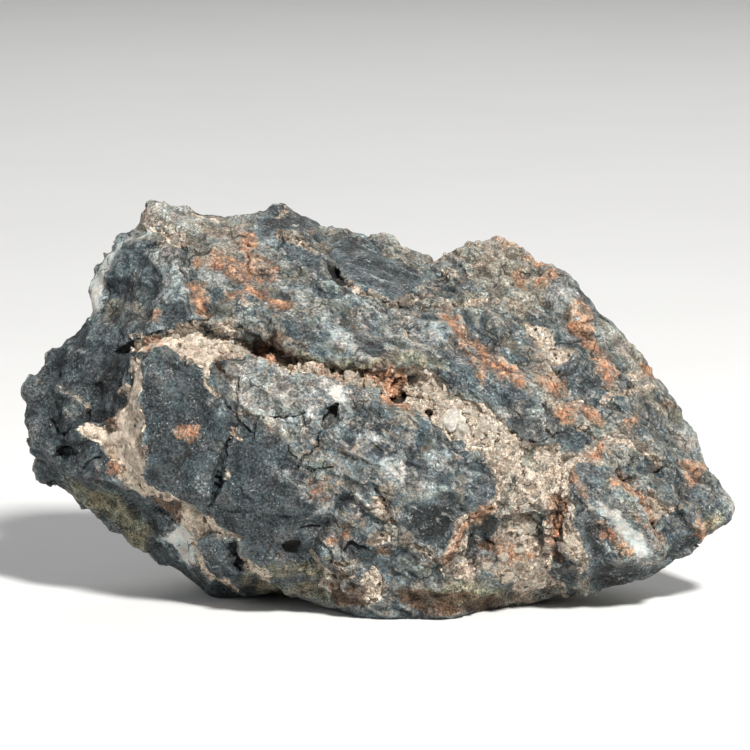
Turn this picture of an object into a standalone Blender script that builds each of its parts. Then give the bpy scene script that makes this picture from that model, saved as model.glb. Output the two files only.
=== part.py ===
"""A hand specimen of wavellite: one loose piece of dark, blue-grey cherty rock, broken on every side.

It is modelled as it is seen square on, from slightly above. A place on it is given as the column
and row of a square picture of that view, 750 across, and as the distance "out" in millimetres in
front of the specimen's middle plane, towards the eye. The rim is the outline of that view. A front
and a back of flat fracture faces are stretched between the rim, the ridges and the corners named
below, and the foot is a flat face on the ground.
"""

import heapq
import itertools
import math

import bmesh
import bpy
from mathutils import Vector, geometry, noise

# Driving dimensions, in metres
SPECIMEN_LENGTH = 0.120
EYE_DISTANCE = 0.800
EYE_TILT = math.radians(10)
MILLIMETRE = 0.001

# The picture: its middle, the columns of the specimen's two ends, and the row of the ground
MIDDLE = 375.0
LEFT_END, RIGHT_END = 16.5, 740.5
GROUND_ROW = 600.0
PIXEL = SPECIMEN_LENGTH / (RIGHT_END - LEFT_END)
MIDDLE_HEIGHT = (GROUND_ROW - MIDDLE) * PIXEL * math.cos(EYE_TILT)

# Longest edges of the fracture faces, which grow from the front to the back, and are short in a hole
FRONT_EDGE, FRONT_OUT = 0.0033, -2
BACK_EDGE, BACK_OUT = 0.0046, -16
HOLE_EDGE = 0.0015
HOLE_REACH = 1.25
HOLE_NEAREST_OUT = -6

# How far a side swells where it would run straight across from rim to rim, in millimetres
RIM_SWELL = 1.0

# Chips and rough grain that break the faces up. They fade towards the ground and the rim
CHIP_SIZE, CHIP_DEPTH = 0.0085, 0.0024
GRAIN_SIZE, GRAIN_DEPTH = 0.0034, 0.0003
FADE_HEIGHT = 0.003
FADE_FROM_RIM = 16
FLAT_FOOT = 0.00002

# The rim, clockwise from the left crest, as stretches of (column, row, out)
CREST_EDGE = [
    (143, 199, -8), (151, 196, -8), (160, 199, -9), (177, 205, -10), (189, 202, -11), (199, 204, -11),
    (206, 209, -11), (219, 210, -12), (225, 215, -12), (234, 215, -12), (241, 210, -12), (257, 212, -12),
    (273, 201, -13), (303, 212, -13), (316, 217, -13), (321, 224, -12), (347, 226, -12), (369, 235, -11),
    (376, 231, -12), (392, 236, -12), (399, 246, -11), (411, 253, -10), (424, 258, -10),
]
SADDLE_EDGE = [(432, 265, -9), (440, 260, -9), (453, 256, -10), (461, 246, -10)]
HUMP_EDGE = [
    (469, 239, -11), (480, 237, -11), (499, 237, -12), (509, 242, -12), (519, 250, -12), (540, 265, -11),
    (549, 266, -11), (566, 274, -11), (572, 282, -11), (588, 296, -11),
]
RIGHT_SLOPE_EDGE = [
    (600, 313, -10), (617, 319, -10), (622, 326, -9), (632, 343, -9), (640, 349, -9), (656, 366, -8),
    (658, 375, -8), (666, 384, -7), (679, 411, -6), (691, 423, -5), (697, 431, -5), (702, 444, -4),
    (706, 460, -3), (719, 481, -1), (730, 492, 1),
]
TIP_EDGE = [(738, 502, 3), (740, 508, 4), (738, 515, 4), (733, 521, 4), (717, 532, 4)]
RIGHT_UNDERSIDE_EDGE = [
    (705, 537, 4), (696, 542, 4), (688, 553, 4), (676, 562, 4), (662, 575, 4), (651, 582, 4),
    (637, 587, 4), (603, 591, 4), (583, 594, 3), (562, 598, 2), (549, 596, 3),
]
BELLY_GAP_EDGE = [
    (340, 607, 11), (324, 603, 10), (308, 601, 9), (288, 595, 8), (269, 592, 6), (251, 592, 2),
]
UNDERCUT_EDGE = [
    (198, 590, -4), (190, 585, -4), (179, 573, -5), (161, 563, -5), (145, 552, -6), (132, 546, -6),
    (115, 537, -6), (102, 524, -6), (88, 517, -6), (76, 506, -6), (71, 498, -6), (62, 493, -6),
    (51, 491, -6), (43, 484, -5), (33, 474, -4),
]
LEFT_END_EDGE = [
    (24, 460, -1), (21, 450, 0), (20, 436, 0), (21, 421, 0), (17, 407, -1), (16.5, 393, -2),
    (25, 382, -3), (35, 368, -5), (38, 361, -6), (36, 352, -7), (51, 341, -8), (64, 334, -8),
    (78, 325, -8), (81, 319, -8),
]
SHOULDER_EDGE = [
    (91, 316, -7), (88, 295, -8), (84, 286, -8), (90, 279, -9), (96, 272, -9), (102, 257, -9),
    (112, 250, -9), (128, 237, -9), (136, 229, -9), (138, 222, -9), (136, 215, -9), (142, 208, -9),
]

# Behind the rim the rock falls away. Its shoulder there follows the rim, this far inside it in the
# picture, millimetres further back, and drawn through the mean of the points on either side
SHOULDER_INSET = 18
SHOULDER_FALL = 4.5
SHOULDER_REACH = 3

# Where the rim stands on the ground, as (column, out): the front of the foot, and its left toe
FOOT_FRONT = [(530, 4), (508, 5), (476, 9.5), (455, 14), (429, 14.5), (403, 14.5), (371, 13.5), (352, 12.5)]
FOOT_TOE = [(246, -1.5), (222, -1.5), (209, -2.5)]

# The rest of the foot's edge, as (column, out): the gap under the belly, and behind
FOOT_GAP = [(342, 4), (308, -2), (284, -8), (248, -10)]
FOOT_BACK = [(222, -11), (268, -17), (330, -20), (410, -21), (475, -17), (524, -6)]

# Ridges and hollows of the front, as lines of (column, row, out)
FRONT_LINES = {
    "upper lip": [
        (100, 336, 2), (122, 342, 7), (146, 334, 11), (175, 326, 12), (208, 320, 12.5), (240, 331, 14),
        (262, 336, 15.5), (286, 340, 16), (303, 356, 17), (340, 362, 18), (372, 368, 18.5), (404, 361, 18),
        (428, 363, 17.5), (447, 372, 17.5), (470, 392, 18), (498, 414, 18.5),
    ],
    "hollow under the upper lip": [
        (108, 355, 3), (126, 351, 5), (148, 341, 9), (178, 334, 10), (206, 329, 10.5), (238, 342, 11),
        (262, 350, 9.5), (282, 357, 10), (300, 363, 12.5), (340, 370, 14.5), (372, 375, 15), (402, 372, 13),
        (430, 375, 14), (452, 388, 15), (474, 405, 16), (494, 421, 16.5),
    ],
    "top edge of the front block": [
        (140, 360, 13.5), (147, 348, 14), (158, 342, 14.5), (171, 344, 15), (182, 362, 15.5),
        (214, 371, 16.5),
        (238, 362, 17), (256, 358, 17), (272, 366, 17.5), (298, 377, 18.5), (335, 381, 19.5),
        (362, 392, 20.5),
        (396, 409, 21), (432, 425, 21), (448, 441, 20),
    ],
    "left edge of the front block": [
        (140, 360, 13.5), (139, 385, 14.5), (145, 410, 15.5), (146, 440, 16), (148, 478, 16.5),
        (155, 491, 16.5),
        (178, 503, 17), (207, 516, 17.5), (243, 534, 17.5), (252, 556, 17), (266, 572, 16.5),
    ],
    "floor of the left seam": [
        (126, 351, 5), (132, 364, 9.5), (127, 390, 9.5), (116, 412, 9.5), (128, 436, 11), (128, 462, 11.5),
        (138, 484, 12), (156, 500, 12.5), (182, 512, 13), (206, 525, 12.5),
    ],
    "lip of the undercut": [
        (38, 464, 1), (60, 470, 6), (82, 477, 9), (106, 480, 10.5), (122, 483, 11.5), (138, 495, 12),
        (156, 500, 12.5),
    ],
    "hollow under the undercut lip": [
        (43, 476, -3), (75, 487, 0), (106, 492, 2), (126, 499, 3), (150, 513, 4), (176, 520, 6.5),
    ],
    "bottom lip of the belly": [
        (266, 572, 16.5), (292, 571, 16.5), (318, 575, 16), (345, 579, 16.5), (368, 588, 17),
        (392, 600, 16.5),
    ],
    "lower edge of the slanted plate": [(352, 283, 5.5), (366, 295, 7.5), (390, 300, 6), (416, 301, 3)],
    "foot of the slanted plate": [(350, 292, 5), (364, 303, 6), (390, 308, 4.8), (414, 310, 3)],
    "rib on the right slope": [
        (546, 286, -4.5), (560, 290, -3), (574, 306, -1.5), (584, 322, -0.5), (600, 334, -2.5),
    ],
    "hollow beside the rib": [(540, 300, -4), (552, 312, -2.5), (564, 324, -2.5), (576, 340, -1)],
    "edge of the upper right block": [(506, 300, -0.5), (512, 322, 3), (530, 342, 6.5), (552, 362, 9)],
    "left edge of the recess": [
        (432, 559, 17.5), (453, 547, 17), (458, 522, 18.5), (478, 508, 19.5), (506, 500, 19.5),
        (530, 498, 18),
        (549, 497, 17.5),
    ],
    "floor of the recess": [
        (446, 563, 14), (463, 553, 13), (468, 530, 14), (486, 516, 15), (510, 512, 15.5), (534, 520, 14.5),
    ],
    "near side of the rust slot": [(549, 497, 17.5), (550, 530, 15), (549, 560, 14.5)],
    "bottom of the rust slot": [(559, 501, 13.5), (559, 530, 11), (556, 556, 12)],
    "left edge of the right block": [
        (562, 472, 17), (568, 498, 17.5), (573, 530, 17), (588, 560, 15.5), (584, 576, 13.5),
    ],
    "right edge of the right block": [(598, 458, 17), (610, 482, 16), (636, 516, 15), (657, 549, 12.5)],
    "shelf beside the right block": [(630, 474, 11), (650, 500, 11.5), (668, 524, 10.5)],
    "brow over the right underside": [
        (584, 576, 13.5), (602, 562, 14.5), (624, 561, 14), (642, 556, 13), (657, 549, 12.5), (678, 541, 9),
        (700, 531, 7.5), (722, 519, 6),
    ],
    "diagonal ridge": [
        (426, 298, 1), (444, 318, 7), (464, 338, 10), (490, 362, 12.5), (516, 384, 13.5), (546, 399, 13),
        (560, 408, 12.5),
    ],
    "step behind the diagonal ridge": [
        (440, 300, 1), (454, 317, 4.5), (474, 337, 7), (500, 360, 9.5), (524, 379, 10.5), (550, 392, 10.5),
    ],
    "crest of the left shoulder": [
        (158, 236, -4), (135, 243, -5), (118, 262, -4.5), (107, 285, -3.5), (102, 308, -2.5), (92, 328, -2),
    ],
    "edge of the shoulder block": [(174, 228, -2), (178, 262, 5.5), (184, 290, 9.5), (197, 313, 12.3)],
    "crack behind the shoulder": [(180, 226, -4.5), (186, 262, 2), (193, 290, 6.5), (208, 312, 10.3)],
    "ledge on the right slope": [(612, 404, 8.5), (624, 432, 10.5), (644, 448, 10.5), (664, 464, 9)],
    "foot of the right ledge": [(622, 448, 9), (640, 461, 9), (655, 470, 7.5)],
}

# Corners of the front, as (column, row, out)
FRONT_CORNERS = {
    "shoulder face": [(152, 258, 0), (134, 285, 1.5), (160, 290, 5.5), (130, 316, 3.5), (166, 312, 9)],
    "left crest": [(162, 214, -6), (190, 222, -5), (214, 236, -2), (248, 230, -5)],
    "upper slope": [
        (205, 268, 4), (236, 262, 3), (225, 292, 8), (262, 288, 7), (285, 305, 11), (250, 312, 12),
        (222, 312, 12),
    ],
    "middle crest": [(262, 240, -3), (285, 222, -8), (284, 244, -1.5), (318, 250, -2), (326, 262, 0)],
    "slanted plate": [(350, 252, -4), (378, 268, -0.5), (396, 286, 3), (424, 280, -3), (392, 252, -7)],
    "slope under the plate": [
        (302, 286, 7), (326, 302, 10.5), (368, 318, 10), (408, 322, 8), (330, 328, 14), (352, 335, 14.5),
        (380, 342, 13.5), (412, 342, 14), (440, 348, 13.5), (298, 322, 13.5), (280, 318, 12.5),
    ],
    "hump face": [
        (478, 258, -6), (500, 262, -6), (456, 284, -3), (486, 300, 0), (520, 290, -3), (540, 284, -7),
    ],
    "right slope": [
        (488, 326, 4), (530, 318, 0.5), (536, 330, 2), (590, 352, 1.5), (614, 352, -2.5), (556, 346, 3.5),
        (566, 364, 8), (580, 358, 8), (596, 372, 7), (578, 384, 9), (602, 392, 5), (632, 378, -1),
        (585, 402, 9.5),
        (650, 402, 1), (575, 428, 12), (598, 432, 11.5), (672, 434, 1), (690, 462, 2.5), (560, 446, 14.5),
    ],
    "small block": [
        (508, 412, 16), (507, 428, 17.5), (530, 418, 17.5), (522, 439, 18), (544, 438, 17.5),
        (556, 424, 15),
    ],
    "front slope of the upper mass": [(470, 368, 14.5), (498, 388, 16), (520, 402, 16)],
    "left end": [
        (62, 350, -1), (80, 348, 0.5), (54, 372, 1.5), (88, 368, 3.5), (40, 392, 2), (66, 396, 5.5),
        (86, 405, 7), (94, 386, 3.5), (112, 378, 4.5), (104, 408, 6.5), (36, 424, 3), (52, 420, 3),
        (62, 432, 4), (88, 428, 9), (70, 446, 6.5), (42, 448, 4), (100, 442, 8.5), (88, 462, 9.5),
        (110, 462, 9),
    ],
    "undercut facets": [
        (98, 508, -1), (126, 522, 0.5), (150, 530, 2.5), (168, 536, 5), (186, 532, 8), (176, 556, 1),
        (196, 552, 7), (198, 572, 3),
    ],
    "foot lump": [
        (214, 538, 13), (206, 556, 10), (222, 560, 12.5), (216, 574, 8), (236, 576, 9.5), (224, 586, 3),
    ],
    "front block face": [
        (172, 392, 17), (180, 440, 18.5), (206, 408, 18.5), (190, 480, 18.5), (214, 450, 19.5),
    ],
    "belly": [
        (236, 400, 19.5), (232, 446, 20.5), (226, 500, 19.5), (262, 420, 21.5), (262, 470, 22),
        (276, 520, 20.5),
        (240, 540, 18.5), (300, 398, 20.5), (310, 436, 22.5), (306, 480, 23), (318, 530, 19.5),
        (348, 420, 22.5),
        (345, 470, 23), (352, 520, 21), (334, 552, 18), (376, 562, 18), (385, 452, 24), (408, 470, 24),
        (405, 492, 24), (420, 496, 23.5), (432, 462, 22.5), (456, 488, 21), (424, 532, 19.5),
        (404, 572, 17.5), (430, 584, 17), (470, 466, 19.5), (492, 486, 20),
    ],
    "crusted hollow": [
        (420, 395, 15), (408, 392, 14), (436, 408, 17), (452, 404, 18.5), (470, 420, 19), (458, 434, 18.5),
        (480, 440, 17.5), (500, 446, 18), (530, 452, 17), (520, 474, 18.5), (548, 472, 17),
    ],
    "floor of the recess": [
        (492, 545, 14), (516, 548, 13.5), (476, 572, 15), (506, 578, 14), (538, 578, 12.5), (462, 592, 15),
    ],
    "right block": [(582, 466, 17.5), (592, 500, 17.5), (612, 530, 15.5), (596, 548, 16), (636, 542, 13.5)],
    "right underside": [(600, 578, 9.5), (632, 572, 9), (660, 562, 7.5), (684, 546, 6)],
    "tip": [(676, 492, 9.5), (700, 498, 8.5), (722, 502, 7), (684, 520, 9.5), (706, 516, 8)],
}

# Ridges and corners of the back, placed by the same view as if the rock were clear
BACK_LINES = {
    "back ridge": [
        (120, 300, -15), (180, 315, -22), (250, 330, -27), (330, 345, -31), (410, 372, -33),
        (480, 398, -31),
        (560, 430, -25), (640, 470, -15),
    ],
    "step under the back ridge": [
        (205, 344, -20), (262, 358, -24.5), (335, 376, -28), (408, 402, -29), (472, 424, -27.5),
        (540, 452, -22),
    ],
    "steep back seam": [(330, 345, -31), (318, 300, -25), (330, 262, -18.5)],
}
BACK_CORNERS = {
    "behind the crest": [
        (170, 236, -14), (215, 262, -20), (272, 236, -17), (262, 290, -25), (390, 300, -23),
    ],
    "behind the saddle": [(432, 296, -17), (480, 268, -17), (500, 320, -24), (560, 310, -19)],
    "behind the right slope": [(610, 372, -17), (580, 390, -23), (660, 430, -12), (700, 490, -6)],
    "behind the left end": [
        (60, 380, -11), (48, 420, -9), (110, 360, -16), (90, 440, -13), (130, 400, -19),
    ],
    "lower back": [
        (150, 470, -15), (190, 420, -23), (220, 490, -23), (270, 430, -28), (300, 500, -29),
        (352, 452, -32),
        (390, 520, -29), (450, 470, -30), (500, 510, -25), (540, 480, -23.5), (570, 530, -15),
        (620, 520, -11),
        (180, 520, -12),
    ],
    "back heel": [(240, 552, -19), (320, 566, -24), (420, 566, -25), (492, 556, -19), (550, 566, -8)],
}

# Cracks of the front, as (half width in the picture, depth in millimetres, line of (column, row, out))
FRONT_CRACKS = {
    "long crack of the front block": (
        2.2, 2.6, [(231, 434, 20.3), (224, 449, 20.3), (219, 470, 20.1), (214, 494, 19.3), (209, 511, 18)],
    ),
    "short crack of the front block": (2, 1.2, [(238, 378, 17.8), (237, 398, 19.2), (243, 414, 20)]),
    "slot in the belly": (3.4, 4, [(340, 398, 21), (331, 416, 21.8), (322, 430, 22.4), (315, 437, 22.6)]),
    "crack beside the slot": (
        1.8, 1.4, [(262, 419, 21.2), (278, 415, 21.4), (296, 414, 21.4), (306, 425, 22)],
    ),
    "crack down the belly": (
        2.4, 1.8, [(374, 486, 23.3), (384, 500, 23), (394, 520, 22), (405, 540, 20.5), (428, 556, 18)],
    ),
    "crack of the middle crest": (3.2, 3.5, [(328, 262, 1), (336, 272, 3), (344, 287, 5)]),
    "rusty crack of the right block": (
        2.2, 2, [(614, 470, 14.5), (626, 484, 14), (638, 502, 13.8), (650, 524, 13), (659, 538, 12)],
    ),
    "crack of the right slope": (1.8, 1.5, [(600, 442, 11.4), (612, 454, 11.4), (618, 468, 12.3)]),
    "crack across the belly": (1.6, 1.2, [(300, 531, 20.3), (310, 527, 20.4), (322, 528, 20)]),
}

# Holes in the front: (column, row, half width, half height, turn in degrees, depth in millimetres)
FRONT_HOLES = {
    "pocket beside the foot lump": (236, 556, 7, 17, -25, 5.0),
    "pocket under the upper lip": (270, 346, 9, 7, 20, 3.0),
    "hole in the rusty crust": (396, 391, 6, 9, -30, 3.0),
    "hole in the seam": (431, 413, 5, 5, 0, 2.5),
    "dent low on the belly": (291, 548, 9, 5, -10, 1.2),
    "pocket of the left end": (62, 452, 7, 8, 0, 3.0),
    "cleft of the left end": (48, 425, 4, 11, 15, 2.5),
    "cleft by the buff seam": (88, 418, 3, 8, -15, 2.0),
    "hollow by the undercut": (166, 510, 14, 5, 30, 3.5),
    "hole beside the dark lens": (547, 446, 7, 3.5, 10, 2.0),
    "slit in the recess": (470, 540, 4, 9, 15, 2.0),
}

STONE_COLOUR = (0.115, 0.130, 0.138, 1.0)
STONE_ROUGHNESS = 0.62


def clear_scene():
    for old in list(bpy.data.objects):
        bpy.data.objects.remove(old, do_unlink=True)


def ground_row(out):
    """The picture row at which the ground shows, out millimetres in front of the middle plane."""
    nearness = out * MILLIMETRE
    up = -(MIDDLE_HEIGHT + nearness * math.sin(EYE_TILT)) / math.cos(EYE_TILT)
    return MIDDLE - up / (PIXEL * (1 - nearness / EYE_DISTANCE))


def in_space(column, row, out):
    """The point seen at that column and row, out millimetres in front of the middle plane."""
    nearness = out * MILLIMETRE
    scale = PIXEL * (1 - nearness / EYE_DISTANCE)
    up = (MIDDLE - row) * scale
    return Vector((
        (column - MIDDLE) * scale,
        up * math.sin(EYE_TILT) - nearness * math.cos(EYE_TILT),
        MIDDLE_HEIGHT + up * math.cos(EYE_TILT) + nearness * math.sin(EYE_TILT),
    ))


def in_picture(point):
    """The column, the row and the out of a point."""
    height = point.z - MIDDLE_HEIGHT
    nearness = height * math.sin(EYE_TILT) - point.y * math.cos(EYE_TILT)
    up = height * math.cos(EYE_TILT) + point.y * math.sin(EYE_TILT)
    scale = PIXEL * (1 - nearness / EYE_DISTANCE)
    return MIDDLE + point.x / scale, MIDDLE - up / scale, nearness / MILLIMETRE


def on_ground(stretch):
    return [(column, ground_row(out), out) for column, out in stretch]


def crack_lines(half_width, depth, line):
    """The two lips of a crack and its floor, which meet at its ends."""
    lips = [line[0]], [line[0]]
    floor = [line[0]]
    for before, (column, row, out), after in zip(line, line[1:], line[2:]):
        along = Vector((after[0] - before[0], after[1] - before[1])).normalized()
        for lip, side in zip(lips, (-half_width, half_width)):
            lip.append((column - along.y * side, row + along.x * side, out))
        floor.append((column, row, out - depth))
    return [[*inner, line[-1]] for inner in (*lips, floor)]


def free_rim():
    """The rim from the left toe, clockwise over the top, to the front of the foot."""
    return [
        *UNDERCUT_EDGE, *LEFT_END_EDGE, *SHOULDER_EDGE, *CREST_EDGE, *SADDLE_EDGE, *HUMP_EDGE,
        *RIGHT_SLOPE_EDGE, *TIP_EDGE, *RIGHT_UNDERSIDE_EDGE,
    ]


def rim_points():
    return [*free_rim(), *on_ground(FOOT_FRONT), *BELLY_GAP_EDGE, *on_ground(FOOT_TOE)]


def back_shoulder():
    """Corners that round the back off behind the rim."""
    rim = free_rim()
    corners = []
    for number in range(SHOULDER_REACH, len(rim) - SHOULDER_REACH, SHOULDER_REACH):
        around = rim[number - SHOULDER_REACH:number + SHOULDER_REACH + 1]
        column, row, out = (sum(values) / len(around) for values in zip(*around))
        along = Vector((around[-1][0] - around[0][0], around[-1][1] - around[0][1])).normalized()
        inward = Vector((-along.y, along.x)) * SHOULDER_INSET
        corners.append((column + inward.x, row + inward.y, out - SHOULDER_FALL))
    return corners


class Side:
    """One side of the rock: triangles over the picture, with an out at each of their corners."""

    def __init__(self, rim, lines, corners, swell):
        self.points = list(rim)
        self.numbers = {point: number for number, point in enumerate(rim)}
        self.edges = []
        for line in lines:
            steps = [self.number_of(point) for point in line]
            self.edges += list(zip(steps, steps[1:]))
        for group in corners:
            self.points += group
        self.faces = self.joined(len(rim))
        while chords := self.chords(len(rim)):
            self.points += [self.swollen_middle(chord, swell) for chord in chords]
            self.faces = self.joined(len(rim))

    def number_of(self, point):
        """The number of a point of a line. Lines that share a point, or start at the rim, join there."""
        if point not in self.numbers:
            self.numbers[point] = len(self.points)
            self.points.append(point)
        return self.numbers[point]

    def joined(self, rim_count):
        """The points joined in triangles that keep to the rim and to the lines."""
        flat = [Vector((column, row)) for column, row, _ in self.points]
        rim = [list(range(rim_count))]
        found, _, faces, sources, _, _ = geometry.delaunay_2d_cdt(flat, self.edges, rim, 1, 1e-4)
        crossings = [tuple(round(c) for c in place) for place, source in zip(found, sources) if not source]
        if crossings:
            raise ValueError(f"lines cross at {crossings}")
        return [[sources[number][0] for number in face] for face in faces]

    def chords(self, rim_count):
        """The edges that cut across the sheet from one rim point to another."""
        found = set()
        for face in self.faces:
            for first, second in itertools.combinations(sorted(face), 2):
                if second < rim_count and second - first not in (1, rim_count - 1):
                    found.add((first, second))
        return sorted(found)

    def swollen_middle(self, chord, swell):
        """The middle of a chord, swell millimetres further out."""
        column, row, out = (sum(values) / 2 for values in zip(*(self.points[n] for n in chord)))
        return column, row, out + swell


def add_side(mesh, side, rim_corners, faces_eye):
    """Adds one side's triangles to the mesh, on the corners that both sides share at the rim."""
    inner = side.points[len(rim_corners):]
    corners = rim_corners + [mesh.verts.new(in_space(*point)) for point in inner]
    for face in side.faces:
        first, second, third = (corners[number] for number in face)
        made = mesh.faces.new((first, second, third))
        made.normal_update()
        sight = made.calc_center_median() - in_space(MIDDLE, MIDDLE, EYE_DISTANCE / MILLIMETRE)
        if (made.normal.dot(sight) < 0) != faces_eye:
            made.normal_flip()


def hole_radius(column, row, hole):
    """How far a place is from the middle of a hole: 1 is on its edge."""
    middle_column, middle_row, half_width, half_height, turn, _ = hole
    angle = math.radians(turn)
    across, down = column - middle_column, row - middle_row
    along_width = across * math.cos(angle) + down * math.sin(angle)
    along_height = down * math.cos(angle) - across * math.sin(angle)
    return math.hypot(along_width / half_width, along_height / half_height)


def near_hole(column, row, out):
    return out > HOLE_NEAREST_OUT and any(
        hole_radius(column, row, hole) < HOLE_REACH for hole in FRONT_HOLES.values()
    )


def longest_edge(point):
    """How long an edge may be at a point of the surface."""
    column, row, out = in_picture(point)
    if near_hole(column, row, out):
        return HOLE_EDGE
    share = (FRONT_OUT - out) / (FRONT_OUT - BACK_OUT)
    return FRONT_EDGE + (BACK_EDGE - FRONT_EDGE) * min(max(share, 0), 1)


def refine(mesh):
    """Halves the edge that is longest for its place, until none is too long."""
    waiting = []
    order = itertools.count()

    def measure(edge):
        middle = (edge.verts[0].co + edge.verts[1].co) / 2
        excess = edge.calc_length() / longest_edge(middle)
        if excess > 1:
            heapq.heappush(waiting, (-excess, next(order), edge))

    for edge in mesh.edges:
        measure(edge)
    while waiting:
        _, _, edge = heapq.heappop(waiting)
        opposite = [(face, next(v for v in face.verts if v not in edge.verts)) for face in edge.link_faces]
        half, middle = bmesh.utils.edge_split(edge, edge.verts[0], 0.5)
        measure(edge)
        measure(half)
        for face, far in opposite:
            _, loop = bmesh.utils.face_split(face, middle, far)
            measure(loop.edge)


def roughness_at(point):
    """How far chips and grain lift the surface at a point."""
    place = point / CHIP_SIZE
    _, chips = noise.voronoi(place)
    lean = noise.cell_vector(chips[0] * 17) - Vector((0.5, 0.5, 0.5))
    chip = (place - chips[0]).dot(lean) * CHIP_DEPTH
    return chip + noise.noise(point / GRAIN_SIZE) * GRAIN_DEPTH


def distance_from_rim(column, row, rim):
    """How far a place of the picture is from the rim, in the picture."""
    place = Vector((column, row))
    nearest = math.inf
    for start, end in zip(rim, rim[1:] + rim[:1]):
        start, end = Vector(start[:2]), Vector(end[:2])
        foot, share = geometry.intersect_point_line(place, start, end)
        foot = start.lerp(end, min(max(share, 0), 1))
        nearest = min(nearest, (place - foot.to_2d()).length)
    return nearest


def roughen(mesh, rim):
    mesh.normal_update()
    moves = {}
    for corner in mesh.verts:
        column, row, _ = in_picture(corner.co)
        height_share = min(max(corner.co.z / FADE_HEIGHT, 0), 1)
        rim_share = min(distance_from_rim(column, row, rim) / FADE_FROM_RIM, 1)
        moves[corner] = corner.normal * (roughness_at(corner.co) * height_share * rim_share)
    for corner, move in moves.items():
        corner.co += move


def sink_holes(mesh):
    """Pushes the front of the rock away from the eye inside each hole, with steep walls."""
    for corner in mesh.verts:
        column, row, out = in_picture(corner.co)
        if out < HOLE_NEAREST_OUT:
            continue
        for hole in FRONT_HOLES.values():
            radius = hole_radius(column, row, hole)
            if radius < 1:
                depth = hole[-1] * math.sqrt(1 - radius * radius)
                corner.co = in_space(column, row, out - depth)


def flatten_foot(mesh):
    for corner in mesh.verts:
        if corner.co.z < FLAT_FOOT:
            corner.co.z = 0


def centre_on_foot(mesh):
    """Moves the rock so that the origin is on the ground, under the middle of its bounding box."""
    xs = [corner.co.x for corner in mesh.verts]
    ys = [corner.co.y for corner in mesh.verts]
    middle = Vector(((min(xs) + max(xs)) / 2, (min(ys) + max(ys)) / 2, 0))
    bmesh.ops.translate(mesh, verts=mesh.verts, vec=-middle)


def stone_material():
    material = bpy.data.materials.new("blue_grey_chert")
    material.use_nodes = True
    shader = material.node_tree.nodes["Principled BSDF"]
    shader.inputs["Base Color"].default_value = STONE_COLOUR
    shader.inputs["Roughness"].default_value = STONE_ROUGHNESS
    shader.inputs["Metallic"].default_value = 0
    material.diffuse_color = STONE_COLOUR
    return material


def build_rock():
    rim = rim_points()
    foot_lines = [
        on_ground([FOOT_FRONT[-1], *FOOT_GAP, FOOT_TOE[0]]),
        on_ground([FOOT_TOE[-1], *FOOT_BACK, FOOT_FRONT[0]]),
    ]
    cracks = [line for crack in FRONT_CRACKS.values() for line in crack_lines(*crack)]
    front = Side(rim, [*FRONT_LINES.values(), *cracks], FRONT_CORNERS.values(), RIM_SWELL)
    back_corners = [*BACK_CORNERS.values(), back_shoulder()]
    back = Side(rim, [*BACK_LINES.values(), *foot_lines], back_corners, -RIM_SWELL)
    mesh = bmesh.new()
    rim_corners = [mesh.verts.new(in_space(*point)) for point in rim]
    add_side(mesh, front, rim_corners, True)
    add_side(mesh, back, rim_corners, False)
    refine(mesh)
    roughen(mesh, rim)
    sink_holes(mesh)
    flatten_foot(mesh)
    centre_on_foot(mesh)
    mesh.normal_update()
    data = bpy.data.meshes.new("rock")
    mesh.to_mesh(data)
    mesh.free()
    data.materials.append(stone_material())
    rock = bpy.data.objects.new("rock", data)
    bpy.context.scene.collection.objects.link(rock)


def main():
    clear_scene()
    build_rock()


main()
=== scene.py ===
"""The looks of the wavellite specimen: a broken lump of dark, blue-grey chert with crusted seams.

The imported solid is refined, its surface is broken into chips, ribs, cracks and pores, and its
colours are laid on as fields. The front's seams, stains and veins stand where the PictureView
sees them. The back and the sides, which the view doesn't reach, carry the same rock by rule.
"""

from __future__ import annotations

import logging
import math
import re
from dataclasses import dataclass, field
from enum import StrEnum
from functools import cached_property
from typing import Iterable, Iterator, Sequence

import bmesh
import bpy
import numpy as np
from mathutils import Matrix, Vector
from mathutils.bvhtree import BVHTree


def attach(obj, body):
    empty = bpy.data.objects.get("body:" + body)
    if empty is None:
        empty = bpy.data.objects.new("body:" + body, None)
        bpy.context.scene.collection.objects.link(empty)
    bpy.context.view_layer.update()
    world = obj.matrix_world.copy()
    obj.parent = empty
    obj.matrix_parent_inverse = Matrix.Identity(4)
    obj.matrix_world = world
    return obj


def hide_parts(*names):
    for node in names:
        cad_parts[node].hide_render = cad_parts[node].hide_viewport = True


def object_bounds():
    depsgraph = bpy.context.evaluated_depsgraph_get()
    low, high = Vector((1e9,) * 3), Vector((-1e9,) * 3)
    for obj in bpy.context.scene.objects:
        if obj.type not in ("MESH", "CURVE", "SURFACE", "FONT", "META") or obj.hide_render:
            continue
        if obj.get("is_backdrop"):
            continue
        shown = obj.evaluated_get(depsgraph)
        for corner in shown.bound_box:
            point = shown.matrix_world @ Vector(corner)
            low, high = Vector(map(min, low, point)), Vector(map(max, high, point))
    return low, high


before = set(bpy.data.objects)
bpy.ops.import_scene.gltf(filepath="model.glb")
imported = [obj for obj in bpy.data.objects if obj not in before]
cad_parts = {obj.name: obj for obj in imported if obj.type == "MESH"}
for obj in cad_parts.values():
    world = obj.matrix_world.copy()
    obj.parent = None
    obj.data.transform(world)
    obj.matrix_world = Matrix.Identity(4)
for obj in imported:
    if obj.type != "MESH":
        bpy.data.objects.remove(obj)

MILLIMETRE = 0.001
LOG = logging.getLogger("specimen")
# Noise is read this many cells away from the origin, where no cell's number is under 0.
FAR = 1000.0
# The crust and the loose grains show a sharp edge where they turn more than this, in degrees.
CREASE = 30.0

Place = tuple[float, float]
Colour = tuple[float, float, float]
Pair = tuple[Colour, Colour]
Stops = tuple[tuple[float, Colour], ...]


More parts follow.
